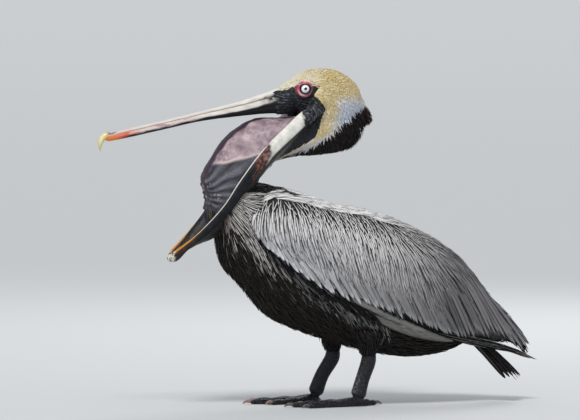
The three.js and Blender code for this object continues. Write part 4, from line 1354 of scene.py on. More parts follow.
headComb = [    # x, z, and the way the feathers lie there
    (-60, 512, 0.9, 0.35), (-35, 525, 0.95, 0.3), (-10, 538, 1, 0), (25, 532, 0.9, -0.4), (60, 512, 0.7, -0.7),
    (-5, 508, 0.95, -0.3), (25, 502, 0.8, -0.6), (15, 480, 0.45, -0.9), (18, 455, 0.15, -1), (0, 437, -0.25, -1),
    (-30, 412, -0.7, -0.8), (45, 482, 0.5, -0.86), (70, 488, 0.62, -0.78), (50, 455, 0.5, -0.87),
    (85, 465, 0.7, -0.7), (20, 428, 0.3, -0.95), (-20, 402, 0.05, -1), (-60, 390, -0.35, -0.94), (75, 440, 0.5, -0.86),
    (-110, 375, -0.4, -0.9), (-150, 370, -0.2, -1), (-120, 345, 0.55, -0.8),
]
bodyComb = [
    (-130, 340, 0.97, -0.22), (-160, 328, 0.8, -0.6), (-146, 305, 0.68, -0.73), (-178, 296, 0.4, -0.92),
    (-186, 258, 0.25, -0.97), (-156, 252, 0.48, -0.87), (-128, 270, 0.58, -0.81), (-112, 236, 0.55, -0.83),
    (-72, 196, 0.65, -0.76), (-165, 190, 0.5, -0.86), (-115, 158, 0.72, -0.7), (-40, 150, 0.82, -0.57),
    (20, 170, 0.6, -0.8), (60, 125, 0.6, -0.8), (-60, 110, 0.95, -0.3), (110, 90, 0.98, -0.1), (180, 92, 0.95, 0.05),
    (240, 100, 0.9, 0.15), (-90, 355, 0.7, -0.6), (-60, 350, 0.9, -0.4), (280, 120, 0.95, 0.1),
]
wingComb = [
    (-125, 318, -0.25, -0.97), (-118, 296, 0.1, -1), (-99, 275, 0.4, -0.92), (-108, 258, 0.55, -0.83),
    (-64, 245, 0.52, -0.85), (-91, 310, 0.0, -1), (-38, 310, 0.02, -1), (-5, 302, -0.05, -1), (-22, 245, 0.3, -0.95),
    (-60, 280, 0.1, -1), (30, 285, 0.0, -1), (39, 215, 0.25, -0.97), (37, 180, 0.45, -0.89), (60, 270, -0.02, -1),
    (61, 205, 0.25, -0.97), (84, 178, 0.35, -0.93), (100, 270, 0.05, -1), (100, 230, 0.08, -1), (133, 266, 0.3, -0.95),
    (133, 215, 0.16, -0.98), (133, 175, 0.35, -0.93), (150, 278, 0.75, -0.65), (165, 262, 0.7, -0.7),
    (165, 230, 0.4, -0.9), (170, 180, 0.36, -0.93), (200, 245, 0.72, -0.7), (205, 205, 0.55, -0.83),
    (186, 150, 0.45, -0.89), (240, 205, 0.66, -0.75), (210, 131, 0.5, -0.85), (235, 170, 0.58, -0.81),
    (265, 128, 0.55, -0.83), (280, 165, 0.6, -0.8), (320, 120, 0.6, -0.8), (350, 85, 0.62, -0.78),
]
mantleComb = [(-110, 340, 1, -0.12), (0, 325, 1, -0.2), (120, 290, 1, -0.3), (200, 250, 1, -0.5), (280, 190, 1, -0.85)]
edgeComb = [(-60, 225, 0.6, -0.8), (40, 175, 0.52, -0.85), (120, 145, 0.5, -0.87), (220, 115, 0.58, -0.81), (320, 105, 0.66, -0.75)]
flightComb = [(-20, 200, 0.88, -0.48), (100, 150, 0.9, -0.43), (200, 112, 0.93, -0.36), (330, 80, 0.93, -0.37)]


def combed(points, normals, comb):
    strokes = np.array(comb, float)
    away = (points[:, :1] - strokes[:, 0]) ** 2 + (points[:, 2:] - strokes[:, 1]) ** 2
    weight = 1 / (away + 20) ** 2
    mean = weight @ unit(strokes[:, 2:]) / weight.sum(1, keepdims=True)
    way = np.stack([mean[:, 0], np.zeros(len(points)), mean[:, 1]], -1)
    return unit(way - normals * (way * normals).sum(1, keepdims=True))


def surfaceTree(points, quads, tris):
    faces = np.asarray(quads).reshape(-1, 4).tolist() + np.asarray(tris).reshape(-1, 3).tolist()
    return BVHTree.FromPolygons(points.tolist(), faces)


def nearest(tree, points):
    spots, ways = np.empty_like(points), np.empty_like(points)
    for i, point in enumerate(points.tolist()):
        spot, way, _, _ = tree.find_nearest(point)
        spots[i], ways[i] = spot, way
    return spots, ways


def spinesOn(tree, roots, normals, comb, length, shares, stick=1.0, turn=None):
    spots, ways = [roots], [normals]
    way = combed(roots, normals, comb)
    if turn is not None:
        way = unit(way + np.cross(normals, way) * turn[:, None])
    for before, share in zip(shares, shares[1:]):
        guess = spots[-1] + way * (length * (share - before))[:, None]
        spot, normal = nearest(tree, guess)
        normal *= np.sign((normal * ways[-1]).sum(1, keepdims=True) + 1e-9)
        spots.append(guess + (spot - guess) * stick)
        normal = unit(ways[-1] * (1 - stick) + normal * stick)
        ways.append(normal)
        target = combed(spots[-1], normal, comb)
        if turn is not None:
            target = unit(target + np.cross(normal, target) * turn[:, None])
        way = unit(way * 0.35 + target * 0.65)
        way = unit(way - normal * (way * normal).sum(1, keepdims=True))
    return np.stack(spots, 1), np.stack(ways, 1)


outlines = {    # shares of a feather's length, and its half width there
    "fine": ([0, 0.3, 0.68, 1], [0, 0.85, 1, 0]),
    "lance": ([0, 0.12, 0.4, 0.72, 0.9, 1], [0, 0.6, 1, 0.9, 0.55, 0]),
    "pointed": ([0, 0.1, 0.3, 0.55, 0.76, 0.9, 1], [0, 0.6, 0.95, 1, 0.82, 0.42, 0]),
    "blade": ([0, 0.06, 0.2, 0.4, 0.6, 0.78, 0.9, 0.97, 1], [0, 0.5, 0.85, 1, 1, 0.95, 0.75, 0.42, 0]),
}


def vaneShapes(spots, ways, half, outline, columns, camber, thick):    # spots and ways (feathers, stations, 3)
    count, stations = spots.shape[:2]
    shares, widths = (np.array(row, float) for row in outlines[outline])
    tangent = unit(np.gradient(spots, axis=1))
    aside = unit(np.cross(ways, tangent))
    above = np.cross(tangent, aside)
    across = np.linspace(-1, 1, columns)
    wide = half[:, None] * widths[None, 1:-1]
    ring = spots[:, 1:-1, None] + aside[:, 1:-1, None] * (wide[..., None] * across)[..., None]
    bow = (1 - across**2) * (camber * wide[..., None] + thick)
    ring = ring + above[:, 1:-1, None] * bow[..., None]
    points = np.concatenate([ring.reshape(count, -1, 3), spots[:, :1], spots[:, -1:]], 1)
    quads, tris = tubeFaces(stations - 2, columns)
    each = points.shape[1]
    base = (np.arange(count) * each)[:, None, None]
    along = np.concatenate([np.repeat(shares[1:-1], columns), [0, 1]])
    over = np.concatenate([np.tile((across + 1) / 2, stations - 2), [0.5, 0.5]])
    return points.reshape(-1, 3), (quads + base).reshape(-1, 4), (tris + base).reshape(-1, 3), each, along, over


def chartAround(points, line):    # a skin unwrap: place along a midline and the turn round it
    fine = smoothAt([[s[0], 0, s[1]] for s in line], np.linspace(0, 1, 160))
    near = ((points[:, None, ::2] - fine[None, :, ::2]) ** 2).sum(2).argmin(1)
    tangent = unit(np.gradient(fine, axis=0))[near]
    off = points - fine[near]
    rise = off[:, 2] * tangent[:, 0] - off[:, 0] * tangent[:, 2]
    turn = np.arctan2(rise, off[:, 1]) / (2 * math.pi)
    return np.stack([near / 159 + 0.003 * (off * tangent).sum(1), turn], -1)


def featherPiece(
    name, spots, ways, half, outline, columns, tint, rim, line, material, camber=0.16, thick=0.25, tips=None,
):
    points, quads, tris, each, along, over = vaneShapes(spots, ways, half, outline, columns, camber, thick)
    made = meshObject(name, points, quads, tris)
    count = len(spots)
    over, along = np.tile(over, count), np.tile(along, count)
    tint = np.repeat(tint, each, 0)
    if tips is not None:
        tint = blend(tint, np.repeat(tips, each, 0), ease(0.8, 0.97, along))
    setColour(made.data, "tint", tint.clip(0, 1))
    setColour(made.data, "rim", np.repeat(rim, each, 0).clip(0, 1))
    chart = chartAround(spots[:, 0], line)
    chart = 0.01 + 0.98 * (chart - chart.min(0)) / np.maximum(chart.max(0) - chart.min(0), 1e-6)
    patch = np.stack([over - 0.5, along - 0.5], -1) * 0.003
    setMap(made.data, "OFBake", np.repeat(chart, each, 0) + patch)
    setMap(made.data, "vane", np.stack([over, along], -1))
    made.data.materials.append(material)
    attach(made, "root")
    print(name, count, "feathers", len(quads) * 2 + len(tris), "triangles")
    return made


def thinOut(points, spacing):    # keeps points that are at least their spacing apart
    size = float(spacing.max())
    cells, kept = {}, []
    offsets = [(i, j, k) for i in (-1, 0, 1) for j in (-1, 0, 1) for k in (-1, 0, 1)]
    keys = np.floor(points / size).astype(int).tolist()
    for index, ((x, y, z), (i, j, k), least) in enumerate(zip(points.tolist(), keys, (spacing**2).tolist())):
        near = (spot for di, dj, dk in offsets for spot in cells.get((i + di, j + dj, k + dk), ()))
        if all((x - a) ** 2 + (y - b) ** 2 + (z - c) ** 2 >= least for a, b, c in near):
            cells.setdefault((i, j, k), []).append((x, y, z))
            kept.append(index)
    return np.array(kept, int)


def kindOf(points):
    x, y, z = points.T
    kind = np.full(len(points), "belly", dtype="<U8")
    kind[(streakStrength(points) > 0.06) & (x < 90)] = "breast"
    kind[(x < -40) & (z > 343)] = "neck"
    wing, _ = onWing(points)
    above = z > lineHeight(partingLine, x)
    kind[wing & above & ~((x < -70) & (z > 342))] = "mantle"
    kind[wing & ~above] = "silver"
    for leg in legs.values():
        thigh, heel = np.array(leg["thigh"], float), np.array(leg["heel"], float)
        share = np.clip((thigh[2] - z) / (thigh[2] - heel[2]), 0, 1)[:, None]
        gap = np.hypot(*(points - (thigh + (heel - thigh) * share))[:, :2].T)
        kind[(gap < 40 - 20 * share[:, 0]) & (z < 116) & (np.sign(y) == leg["side"])] = "thigh"
    head = (z > headTop) & (x > -75)
    kind[head] = "crown"
    kind[head & insideOutline(x, z, whiteWedge)] = "white"
    kind[head & (z < lineHeight(napeLine, x))] = "nape"
    kind[insideOutline(x, z, bareFace) & (z > 342)] = "bare"
    kind[(z > headTop) & (x < -75)] = "bare"
    for side in sides.values():
        r, h, turn, _ = eyeFrame(points, side)
        kind[(r < 14.2 + 1.5 * np.cos(turn)) & (h > -8)] = "bare"
    return kind


bodyMesh.calc_loop_triangles()
corners = np.empty(len(bodyMesh.loop_triangles) * 3, np.int32)
bodyMesh.loop_triangles.foreach_get("vertices", corners)
corners = corners.reshape(-1, 3)
bodyPoints, bodyNormals = pointsOf(bodyMesh), normalsOf(bodyMesh)
bodyTree = surfaceTree(bodyPoints, [], corners)
cornerA, cornerB, cornerC = (bodyPoints[corners[:, k]] for k in range(3))
areas = np.linalg.norm(np.cross(cornerB - cornerA, cornerC - cornerA), axis=1) / 2
kinds = kindOf((cornerA + cornerB + cornerC) / 3 + 1.2 * dice.normal(size=(len(corners), 3)))


def rootsFor(names, spacing, where=None):    # spacing is a number or a function of points
    gapAt = spacing if callable(spacing) else lambda points: np.full(len(points), float(spacing))
    chosen = np.isin(kinds, names)
    if where is not None:
        chosen &= where(cornerA)
    chosen = np.flatnonzero(chosen)
    share = areas[chosen] / gapAt(cornerA[chosen]) ** 2
    wanted = int(share.sum() * 4.5)
    picked = dice.choice(chosen, wanted, p=share / share.sum())
    a, b = dice.random((2, wanted))
    flip = a + b > 1
    a, b = np.where(flip, 1 - a, a)[:, None], np.where(flip, 1 - b, b)[:, None]
    mixed = [one[0] * (1 - a - b) + one[1] * a + one[2] * b for one in (
        [bodyPoints[corners[picked, k]] for k in range(3)], [bodyNormals[corners[picked, k]] for k in range(3)],
    )]
    kept = thinOut(mixed[0], gapAt(mixed[0]))
    return mixed[0][kept], unit(mixed[1][kept])


def withAlpha(colour, alpha):
    return np.concatenate([colour, np.broadcast_to(alpha, (len(colour),))[:, None]], 1)


def varied(colour, count, spread):
    return np.tile(np.asarray(colour, float), (count, 1)) * (1 + spread * dice.normal(size=(count, 1))).clip(0.3, 2)


def raised(spots, ways, lift, outline, sink=0.5):    # tips stand off the skin, roots lie in it
    shares = np.array(outlines[outline][0])
    height = lift[:, None] * shares**0.8 - sink * (1 - shares)
    return spots + ways * height[..., None]


def growCoat(name, roots, normals, comb, values, tint, rim, line, material, tree=None):
    count = len(roots)
    length = np.broadcast_to(values["length"], (count,)) * dice.uniform(0.85, 1.12, count)
    half = np.broadcast_to(values["width"], (count,)) * dice.uniform(0.85, 1.15, count) / 2
    lift = np.broadcast_to(values["lift"], (count,)) * dice.uniform(0.6, 1.3, count)
    outline = values.get("outline", "fine")
    turn = dice.normal(0, values.get("turn", 0.12), count)
    spots, ways = spinesOn(tree or bodyTree, roots, normals, comb, length, outlines[outline][0], values.get("stick", 1.0), turn)
    spots = raised(spots, ways, lift, outline)
    thick = values.get("thick", 0.25)
    return featherPiece(name, spots, ways, half, outline, 3, tint, rim, line, material, thick=thick)


coat = {
    "crown": {"spacing": 1.6, "length": 11.0, "width": 1.7, "lift": 0.8, "thick": 0.12},
    "nape": {"spacing": 2.0, "length": 13, "width": 1.8, "lift": 3.2, "turn": 0.25, "stick": 0.62},
    "neck": {"spacing": 3.6, "length": 14, "width": 3.4, "lift": 2.4},
    "breast": {"spacing": 2.6, "length": 32, "width": 2.1, "lift": 4.2, "turn": 0.06, "outline": "lance"},
    "belly": {"spacing": 4.2, "length": 20, "width": 4.2, "lift": 4.2, "turn": 0.15, "outline": "lance"},
    "thigh": {"spacing": 3.2, "length": 12, "width": 3.2, "lift": 2.4, "turn": 0.2},
    "mantle": {"spacing": 4.6, "length": 38, "width": 4.4, "lift": 1.8, "turn": 0.05, "outline": "lance"},
}


def growHead(soft, dark):
    values = coat["crown"]
    roots, normals = rootsFor(["crown", "white"], values["spacing"])
    shade = headShade(roots + dice.normal(0, 1.0, roots.shape)) * (1 + 0.03 * dice.normal(size=(len(roots), 1)))
    white = insideOutline(roots[:, 0], roots[:, 2], whiteWedge)
    eyeGap = np.min([np.where(eyeFrame(roots, s)[1] > -8, eyeFrame(roots, s)[0], 99) for s in sides.values()], 0)
    length = values["length"] * (0.55 + 0.45 * ease(15, 34, eyeGap)) * np.where(white, 1.15, 1)
    lift = np.where(white, 1.1, values["lift"])
    growCoat("coat_head", roots, normals, headComb, {**values, "length": length, "lift": lift},
             shade, withAlpha(shade * 0.94, 0.3), headStations, soft)
    values = coat["nape"]
    roots, normals = rootsFor(["nape"], values["spacing"])
    shade = headShade(roots) * (1 + 0.3 * dice.normal(size=(len(roots), 1))).clip(0.4, 2)
    tipped = dice.random(len(roots)) < 0.01 + 0.3 * ease(72, 96, roots[:, 0])
    shade[tipped] = varied(shades["chestnut"], tipped.sum(), 0.4)
    rear = ease(36, 72, roots[:, 0]) * ease(484, 462, roots[:, 2])
    values = {**values, "length": values["length"] * (1 + 0.5 * rear), "lift": values["lift"] * (1 + 1.7 * rear)}
    growCoat("coat_nape", roots, normals, headComb, values, shade, withAlpha(shade * 0.7, 0.3),
             neckStations, dark)
    values = coat["neck"]
    roots, normals = rootsFor(["neck"], values["spacing"])
    shade = varied(shades["brownBlack"], len(roots), 0.3)
    growCoat("coat_neck", roots, normals, bodyComb, values, shade, withAlpha(shade * 0.6, 0.3),
             neckStations, dark)


def growBody(dark):
    values = coat["breast"]
    roots, normals = rootsFor(["breast"], values["spacing"])
    strength = streakStrength(roots)
    streak = ease(-0.1, 0.4, strength - dice.uniform(0.05, 1.0, len(roots)))
    # streaks turn dark brown towards the front of the breast: painted shade there; where the streaks fade they also
    # take their own browner tone
    shadeAndBrown = ease(-152, -180, roots[:, 0]) + (1 - ease(0.3, 0.8, strength)) * 0.45
    silver = blend((0.74, 0.71, 0.68), (0.30, 0.24, 0.19), np.clip(shadeAndBrown, 0, 1))
    shade = blend(varied(shades["brownBlack"], len(roots), 0.25), silver, np.clip(streak, 0, 1) ** 1.2)
    rim = withAlpha(varied((0.005, 0.0045, 0.0045), len(roots), 0.3), 0.52)
    growCoat("coat_breast", roots, normals, bodyComb, values, shade, rim, trunkStations, dark)
    values = coat["belly"]
    roots, normals = rootsFor(["belly"], values["spacing"])
    shade = varied((0.012, 0.0092, 0.0078), len(roots), 0.35)
    growCoat("coat_belly", roots, normals, bodyComb, values, shade, withAlpha(shade * 1.5, 0.2),
             trunkStations, dark)
    values = coat["thigh"]
    roots, normals = rootsFor(["thigh"], values["spacing"])
    shade = varied((0.009, 0.0078, 0.0075), len(roots), 0.3)
    downward = [(0, 110, 0.15, -1), (100, 110, 0.15, -1), (40, 80, 0.1, -1)]
    growCoat("coat_thighs", roots, normals, downward, values, shade, withAlpha(shade * 0.6, 0.3),
             trunkStations, dark)


# the wings

wing = {
    "near": 4.2,    # spacing of the silver feathers below the parting, and at the lower edge
    "far": 5.6,
    "length": (15, 62),
    "width": (3.5, 6.4),
    "lift": 3.0,
    "sheet": 4.6,    # height of the surface that the feathers lie on, above the lining
    "margin": 8.0,    # how much of the long lowest feathers shows below the others
}


def wingSheet(side, lift):    # the surface that the wing's feathers lie on, out past its edges
    xs = np.linspace(-150, 366, 150)
    angle = np.radians(np.linspace(-80, 96, 120))
    centre, deep, wide = smoothAtX(liningStations, xs)
    lift = lift * (1 - 0.75 * ridgeDrop(np.degrees(angle)))
    sheet = np.empty((len(xs), len(angle), 3))
    sheet[..., 0] = xs[:, None]
    sheet[..., 1] = side * (wide[:, None] + lift) * np.cos(angle)
    sheet[..., 2] = centre[:, None] + (deep[:, None] + lift) * np.sin(angle)
    index = np.arange(sheet.shape[0] * sheet.shape[1]).reshape(sheet.shape[:2])
    quads = np.stack([index[:-1, :-1], index[1:, :-1], index[1:, 1:], index[:-1, 1:]], -1).reshape(-1, 4)
    return surfaceTree(sheet.reshape(-1, 3), quads, [])


def wingSpot(side, x, height, lift):    # the place on the wing's outer side at x and at a height
    centre, deep, wide = smoothAtX(liningStations, x)
    angle = np.arcsin(np.clip((height - centre) / (deep + lift), -0.98, 0.98))
    outward = unit(np.stack([np.zeros(len(x)), side * np.cos(angle) / wide, np.sin(angle) / deep], -1))
    y, z = side * (wide + lift) * np.cos(angle), centre + (deep + lift) * np.sin(angle)
    return np.stack([x, y, z], -1), outward


def streamAt(points):    # where a feather's streamline leaves the parting line, to share streaks along it
    spots = points * [1, 0, 1]
    level = np.tile([0, -1.0, 0], (len(points), 1))
    for _ in range(26):
        below = spots[:, 2] < lineHeight(partingLine, spots[:, 0])
        spots = spots - combed(spots, level, wingComb) * (7.0 * below)[:, None]
    return spots[:, 0]


def streaksAt(stream):    # -1 to 1, a few mm across
    slow = np.sin(stream * 0.37 + 1.7 * np.sin(stream * 0.071))
    return np.clip(0.6 * np.sin(stream * 1.31 + 2.3 * np.sin(stream * 0.23)) + 0.6 * slow, -1, 1)


def silverShade(points, height):
    x = points[:, 0]
    rear = ease(0, 240, x)
    # paler towards the top of the wing and darker low down: partly the feathers' own tone, partly painted light above
    # and painted shade below
    pale = blend((0.33, 0.32, 0.335), (0.68, 0.665, 0.67), ease(0.3, 0.85, height))
    front = (1 - ease(-60, 20, x)) * (1 - ease(0.4, 0.7, height))
    pale = blend(pale, (0.48, 0.485, 0.51), front)
    return blend(pale, (0.14, 0.133, 0.139), rear * (0.97 - 0.55 * height * (1 - ease(110, 200, x))))


def rowFeathers(name, side, tree, tipX, tipZ, values, comb, tint, rim, material, tips=None):
    length, width, lift, outline = values["length"], values["width"], values["lift"], values["outline"]
    ends, normals = wingSpot(side, tipX, tipZ, wing["sheet"])
    back = [(x, z, -dx, -dz) for x, z, dx, dz in comb]
    shares = np.array(outlines[outline][0])
    length = np.broadcast_to(length, (len(ends),))
    spots, ways = spinesOn(tree, ends, normals, back, length, (1 - shares)[::-1])
    spots, ways = spots[:, ::-1], ways[:, ::-1]
    layer = np.broadcast_to(lift, (len(ends),))[:, None] + 1.2 * shares - 2.5 * (1 - shares) ** 2
    spots = spots + ways * layer[..., None]
    half = np.broadcast_to(width, (len(ends),)) / 2
    return featherPiece(name, spots, ways, half, outline, 7, tint, rim, liningStations, material, 0.1, 0.35, tips)


def edgeRoom(roots, comb, margin):    # how far a feather may run before it passes the silver edge
    way = combed(roots, np.tile([0, -1.0, 0], (len(roots), 1)), comb)
    slope = (lineHeight(silverEdge, roots[:, 0] + 5) - lineHeight(silverEdge, roots[:, 0] - 5)) / 10
    drop = np.maximum(-way[:, 2] + slope * way[:, 0], 0.15)
    return (roots[:, 2] - lineHeight(silverEdge, roots[:, 0]) - margin) / drop


def growEdge(name, side, dark):    # the dark feathers that show below the silver ones
    below = lambda p: (np.sign(p[:, 1]) == side) & (edgeRoom(p, wingComb, 0) < 16) & (p[:, 0] < 190)
    roots, normals = rootsFor(["silver"], 3.6, below)
    count = len(roots)
    streak = (dice.random(count) < 0.34) * (1 - ease(60, 150, roots[:, 0]))
    shade = blend(varied(shades["brownBlack"], count, 0.3), (0.24, 0.26, 0.30), streak * dice.uniform(0.4, 1, count))
    rim = withAlpha(varied((0.005, 0.005, 0.006), count, 0.3), 0.5)
    values = {"length": 26.0, "width": 2.2, "lift": 3.0, "turn": 0.1}
    growCoat("coat_edge_" + name, roots, normals, edgeComb, values, shade, rim, liningStations, dark)


def growWing(name, side, silver, flight):
    tree = wingSheet(side, wing["sheet"])
    margin = lambda points: wing["margin"] * (0.45 + 0.55 * ease(-90, -40, points[:, 0]))
    above = lambda p: (np.sign(p[:, 1]) == side) & (edgeRoom(p, wingComb, margin(p)) > 7)
    spacing = lambda p: wing["far"] + (wing["near"] - wing["far"]) * wingHeight(p)
    roots, normals = rootsFor(["silver"], spacing, above)
    height = wingHeight(roots)
    count = len(roots)
    rear = ease(120, 260, roots[:, 0])
    size = 1 - height
    length = wing["length"][0] + (wing["length"][1] - wing["length"][0]) * size**0.6 + 24 * rear
    length = np.minimum(length, np.maximum(edgeRoom(roots, wingComb, margin(roots)), 10))
    width = wing["width"][0] + (wing["width"][1] - wing["width"][0]) * size + 1.2 * rear
    rise = ease(0.74, 0.93, height) * (1 - 0.4 * rear)
    bold = rise * (1 - (1 - ease(8, 24, np.abs(roots[:, 1]))) * ease(110, 150, roots[:, 0]))
    width = width * (1 - 0.34 * bold)
    streaks = streaksAt(streamAt(roots))
    shade = silverShade(roots, height) * (1 + (0.2 * streaks * (1 - 0.4 * height) + 0.03 * dice.normal(size=count)))[:, None]
    shade = shade * (1 + 0.35 * bold)[:, None]
    streaked = ease(0.3, 0.8, height)
    rim = blend(blend(shade * 0.62, shade * 0.24, streaked), (0.006, 0.006, 0.007), bold)
    rim = withAlpha(rim, 0.13 + 0.12 * streaked + 0.36 * bold)
    gap = (dice.random(count) < 0.04 * rear + 0.012) & (height < 0.75)
    shade[gap] *= 0.08
    width[gap] *= 0.42
    lift = wing["lift"] * (0.4 + 0.5 * streaked - 0.35 * bold + 0.3 * gap) * (1 + 0.3 * streaks)
    values = {"length": length, "width": width, "lift": lift, "turn": 0.02 + 0.15 * bold, "outline": "lance"}
    growCoat("wing_coat_" + name, roots, normals, wingComb, values, shade, rim, liningStations,
             silver, tree)
    growRows(name, side, tree, silver, flight)


rows = {    # the long feathers of a wing, from its front edge to its tip
    "greater": {"length": (40, 92), "width": (7.5, 10.5), "lift": 0.9, "outline": "pointed", "count": 46},
    "tertials": {"length": (96, 150), "width": 8.6, "lift": 3.0, "outline": "pointed", "count": 26},
    "secondaries": {"length": (44, 150), "width": 11.5, "lift": -1.4, "outline": "blade", "count": 12},
    "primaries": {"length": (90, 150), "width": 9.5, "lift": -0.8, "outline": "pointed", "count": 8},
}
flightEdge = [(46, 166), (80, 150), (108, 137), (140, 126), (170, 116), (214, 101)]
tipEdge = [(258, 98), (304, 88), (338, 77), (372, 66)]


def rowValues(name, count):
    values = dict(rows[name])
    for key in ("length", "width"):
        if isinstance(values[key], tuple):
            values[key] = np.linspace(*values[key], count)
    return values


def growRows(name, side, tree, silver, flight):
    count = rows["greater"]["count"]
    x = np.linspace(-104, 226, count) + dice.normal(0, 1.5, count)
    edge = lineHeight(silverEdge, x) + dice.normal(0, 2.4, count)
    rear = ease(-50, 190, x)
    shade = blend((0.40, 0.395, 0.405), (0.16, 0.154, 0.16), rear) * (1 + 0.16 * dice.normal(size=(count, 1)))
    pale = blend((0.88, 0.88, 0.90), (0.40, 0.40, 0.41), rear)
    values = rowValues("greater", count)
    values["lift"] = values["lift"] + dice.uniform(-0.5, 1.4, count)
    rim = withAlpha(blend((0.03, 0.03, 0.034), (0.03, 0.029, 0.03), rear), 0.2)
    rowFeathers("greater_coverts_" + name, side, tree, x, edge, values, edgeComb, shade, rim, silver, pale)
    count = rows["tertials"]["count"]
    x = np.linspace(228, 354, count) + dice.normal(0, 1.2, count)
    edge = lineHeight(silverEdge, x) + 2 + dice.normal(0, 3, count)
    shade = varied((0.14, 0.134, 0.139), count, 0.22)
    values = rowValues("tertials", count)
    values["lift"] = values["lift"] + dice.uniform(-0.8, 0.8, count)
    rim = withAlpha(varied((0.008, 0.0075, 0.008), count, 0.2), 0.24)
    pale = np.tile((0.30, 0.29, 0.29), (count, 1))
    rowFeathers("tertials_" + name, side, tree, x, edge, values, wingComb, shade, rim, silver, pale)
    count = rows["secondaries"]["count"]
    x = np.linspace(66, 216, count)
    shade = blend((0.22, 0.21, 0.195), (0.15, 0.144, 0.134), np.linspace(0, 1, count))
    shade = shade * (1 + 0.2 * dice.normal(size=(count, 1)))
    rim = withAlpha(varied((0.035, 0.033, 0.03), count, 0.2), 0.14)
    values = rowValues("secondaries", count)
    values["lift"] = values["lift"] - np.linspace(1.2, 0, count)
    made = rowFeathers("secondaries_" + name, side, tree, x, lineHeight(flightEdge, x), values,
                       flightComb, shade, rim, flight)
    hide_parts("wing_%s_secondaries" % name)
    count = rows["primaries"]["count"]
    x = np.linspace(266, 371, count)
    shade = varied((0.006, 0.0057, 0.006), count, 0.2)
    rim = withAlpha(varied((0.55, 0.54, 0.53), count, 0.15), 0.1)
    values = rowValues("primaries", count)
    values["lift"] = values["lift"] - np.linspace(1.6, 0, count)
    pale = np.tile((0.20, 0.19, 0.18), (count, 1))
    made = rowFeathers("primaries_" + name, side, tree, x, lineHeight(tipEdge, x), values,
                       flightComb, shade, rim, flight, pale)
    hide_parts("wing_%s_primaries" % name)


def growMantle(silver):
    values = coat["mantle"]
    roots, normals = rootsFor(["mantle"], values["spacing"])
    count = len(roots)
    # near white: the upper scapulars' pale grey, made whiter as painted light where strong light falls on them
    shade = np.tile(shades["mantle"], (count, 1)) * (1 + 0.05 * dice.normal(size=(count, 1)))
    shade = blend(shade, (0.34, 0.33, 0.335), ease(30, 170, roots[:, 0]))
    centreLine = 1 - ease(8, 26, np.abs(roots[:, 1]))
    shade = blend(shade, (0.30, 0.29, 0.29), centreLine * 0.6)
    rim = withAlpha(shade * 0.5, 0.10)
    for name, side in sides.items():
        mine = np.sign(roots[:, 1]) == side
        growCoat("mantle_" + name, roots[mine], normals[mine], mantleComb, values, shade[mine],
                 rim[mine], liningStations, silver, wingSheet(side, wing["sheet"]))


# tail and tufts

tail = {"root": (236, 0, 130), "tip": (346, 0, 40), "rootHalf": 16, "tipHalf": 26, "arch": 14, "count": 11, "width": 19}


def growTail(flight):
    root, tip = np.array(tail["root"], float), np.array(tail["tip"], float)
    fan = tip - root
    above = unit(np.array([-fan[2], 0, fan[0]]))
    shares = np.array(outlines["blade"][0])
    order = np.linspace(-1, 1, tail["count"])
    spots, ways = [], []
    for across in order:
        start = root + [0, across * tail["rootHalf"], 0] - above * (1.5 + 2.5 * abs(across))
        end = root + fan * (1 - 0.05 * across**2) + [0, across * tail["tipHalf"], 0] - above * tail["arch"] * across**2
        end = end + above * (1.6 * (1 - abs(across)))
        line = start + (end - start) * shares[:, None] + above * (5 * np.sin(shares * math.pi))[:, None]
        spots.append(line)
        ways.append(np.tile(unit(above + np.array([0, 0.25 * across, 0])), (len(shares), 1)))
    count = len(order)
    shade = varied((0.011, 0.0105, 0.011), count, 0.2)
    rim = withAlpha(varied((0.04, 0.037, 0.037), count, 0.2), 0.08)
    made = featherPiece("tail_feathers", np.array(spots), np.array(ways),
                        np.full(count, tail["width"] / 2), "blade", 7, shade, rim, [[200, 140], [300, 80], [360, 40]],
                        flight, 0.08, 0.35)
    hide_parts("tail")


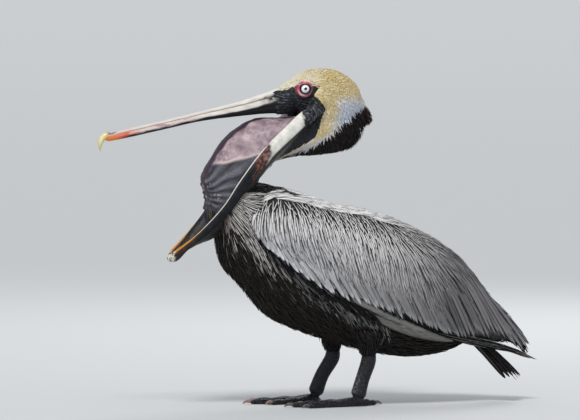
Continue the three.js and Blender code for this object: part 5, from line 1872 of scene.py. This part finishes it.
def growTufts(soft, dark):    # loose spikes behind the crown, and fluff under the tail
    count = 90
    x = dice.uniform(64, 92, count)
    z = 498 - (x - 62) * 1.2 + dice.normal(0, 5, count)
    roots, normals = nearest(bodyTree, np.stack([x, dice.uniform(-9, 9, count), z], -1))
    comb = [(60, 500, 0.72, -0.69), (100, 460, 0.6, -0.8), (80, 440, 0.55, -0.83)]
    turn = dice.normal(0, 0.15, count)
    spots, ways = spinesOn(bodyTree, roots, normals, comb, dice.uniform(15, 30, count), outlines["fine"][0], 0.2, turn)
    spots = raised(spots, ways, np.full(count, 2.0), "fine")
    shade = varied((0.66, 0.66, 0.62), count, 0.12)
    low = roots[:, 2] < 474
    shade[low] = varied(shades["chestnut"], low.sum(), 0.4) * 0.45
    featherPiece("crest", spots, ways, dice.uniform(0.7, 1.1, count), "fine", 3, shade,
                 withAlpha(shade * 0.7, 0.3), headStations, soft)
    count = 320
    start = np.stack([dice.uniform(110, 225, count), dice.uniform(-34, 34, count), np.full(count, 60.0)], -1)
    roots, normals = nearest(bodyTree, start)
    comb = [(100, 80, 0.93, -0.3), (160, 80, 0.86, -0.5), (190, 80, 0.8, -0.6), (230, 90, 0.97, -0.1)]
    turn = dice.normal(0, 0.25, count)
    spots, ways = spinesOn(bodyTree, roots, normals, comb, dice.uniform(18, 46, count), outlines["lance"][0], 0.4, turn)
    spots = raised(spots, ways, np.full(count, 4.0), "lance")
    shade = varied((0.014, 0.011, 0.009), count, 0.3)
    featherPiece("vent_fluff", spots, ways, dice.uniform(1.4, 2.6, count), "lance", 3, shade,
                 withAlpha(shade * 0.6, 0.3), trunkStations, dark)
    count = 300
    along = dice.random(count)
    height = 222 - 80 * along - dice.uniform(0, 20, count)
    start = np.stack([-62 + 152 * along, dice.choice([-1, 1], count) * 70, height], -1)
    roots, normals = nearest(bodyTree, start)
    comb = [(-60, 220, 0.6, -0.8), (40, 160, 0.5, -0.87), (110, 130, 0.35, -0.94)]
    turn = dice.normal(0, 0.1, count)
    spots, ways = spinesOn(bodyTree, roots, normals, comb, dice.uniform(22, 46, count), outlines["fine"][0], 0.8, turn)
    spots = raised(spots, ways, dice.uniform(4.5, 6.5, count), "fine")
    shade = varied((0.30, 0.295, 0.295), count, 0.35)
    featherPiece("flank_plumes", spots, ways, dice.uniform(0.35, 0.6, count), "fine", 3, shade,
                 withAlpha(shade * 0.5, 0.3), trunkStations, dark)


claws = {"radii": [[2.9, 2.3], [2.3, 1.8], [0.7, 0.6]], "rise": (4.6, 5.2, 1.4), "length": 12.0}


def makeClaws():
    shapes = []
    for leg in legs.values():
        ankle = np.array([leg["ankle"][0], leg["ankle"][1], 0], float)
        for length, turn in toesOf(leg):
            way = np.array([-math.cos(math.radians(turn)), leg["side"] * math.sin(math.radians(turn)), 0])
            reach = [length * 0.95, length + claws["length"] * 0.45, length + claws["length"]]
            path = [ankle + way * r + [0, 0, z] for r, z in zip(reach, claws["rise"])]
            shapes.append(limbShape(path, claws["radii"], 20, 14, 0.3, 0.05))
    points, quads, tris = joinShapes(shapes)
    made = meshObject("claws", points, quads, tris)
    made.data.materials.append(leatherMaterial("clawHorn", 500.0, 0.3, (0.3, 0.5), 0.00006))
    tone = 0.5 + 0.5 * lumps(points, 4)
    far = (points[:, 1] > 0).astype(float)
    setColour(made.data, "tint", blend(blend((0.05, 0.05, 0.06), (0.12, 0.115, 0.12), tone), (0.30, 0.20, 0.16), far * 0.7))
    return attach(made, "root")


makeClaws()
headDown = featherMaterial("headDown", 6.0, (0.6, 0.8), 0.00003)
darkDown = featherMaterial("darkDown", 9.0, (0.64, 0.84), 0.00008, 0.06, 0.5)
growHead(headDown, darkDown)
growBody(darkDown)
silverVane = featherMaterial("silverVane", 22.0, (0.46, 0.66), 0.0001, 0.3, 0.85, 0.25)
flightVane = featherMaterial("flightVane", 60.0, (0.5, 0.7), 0.0001, 0.12, 0.0, 0.6)
for wingName, wingSide in sides.items():
    growEdge(wingName, wingSide, darkDown)
    growWing(wingName, wingSide, silverVane, flightVane)
growMantle(silverVane)
growTail(flightVane)
growTufts(headDown, darkDown)
print("coat ready")

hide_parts("trunk", "neck_lower", "neck_upper", "head", "wing_left_coverts", "wing_right_coverts")
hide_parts("thigh_left", "thigh_right", "shank_left", "shank_right", "foot_left", "foot_right")
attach(skinObject, "root")

print("pelican finished")
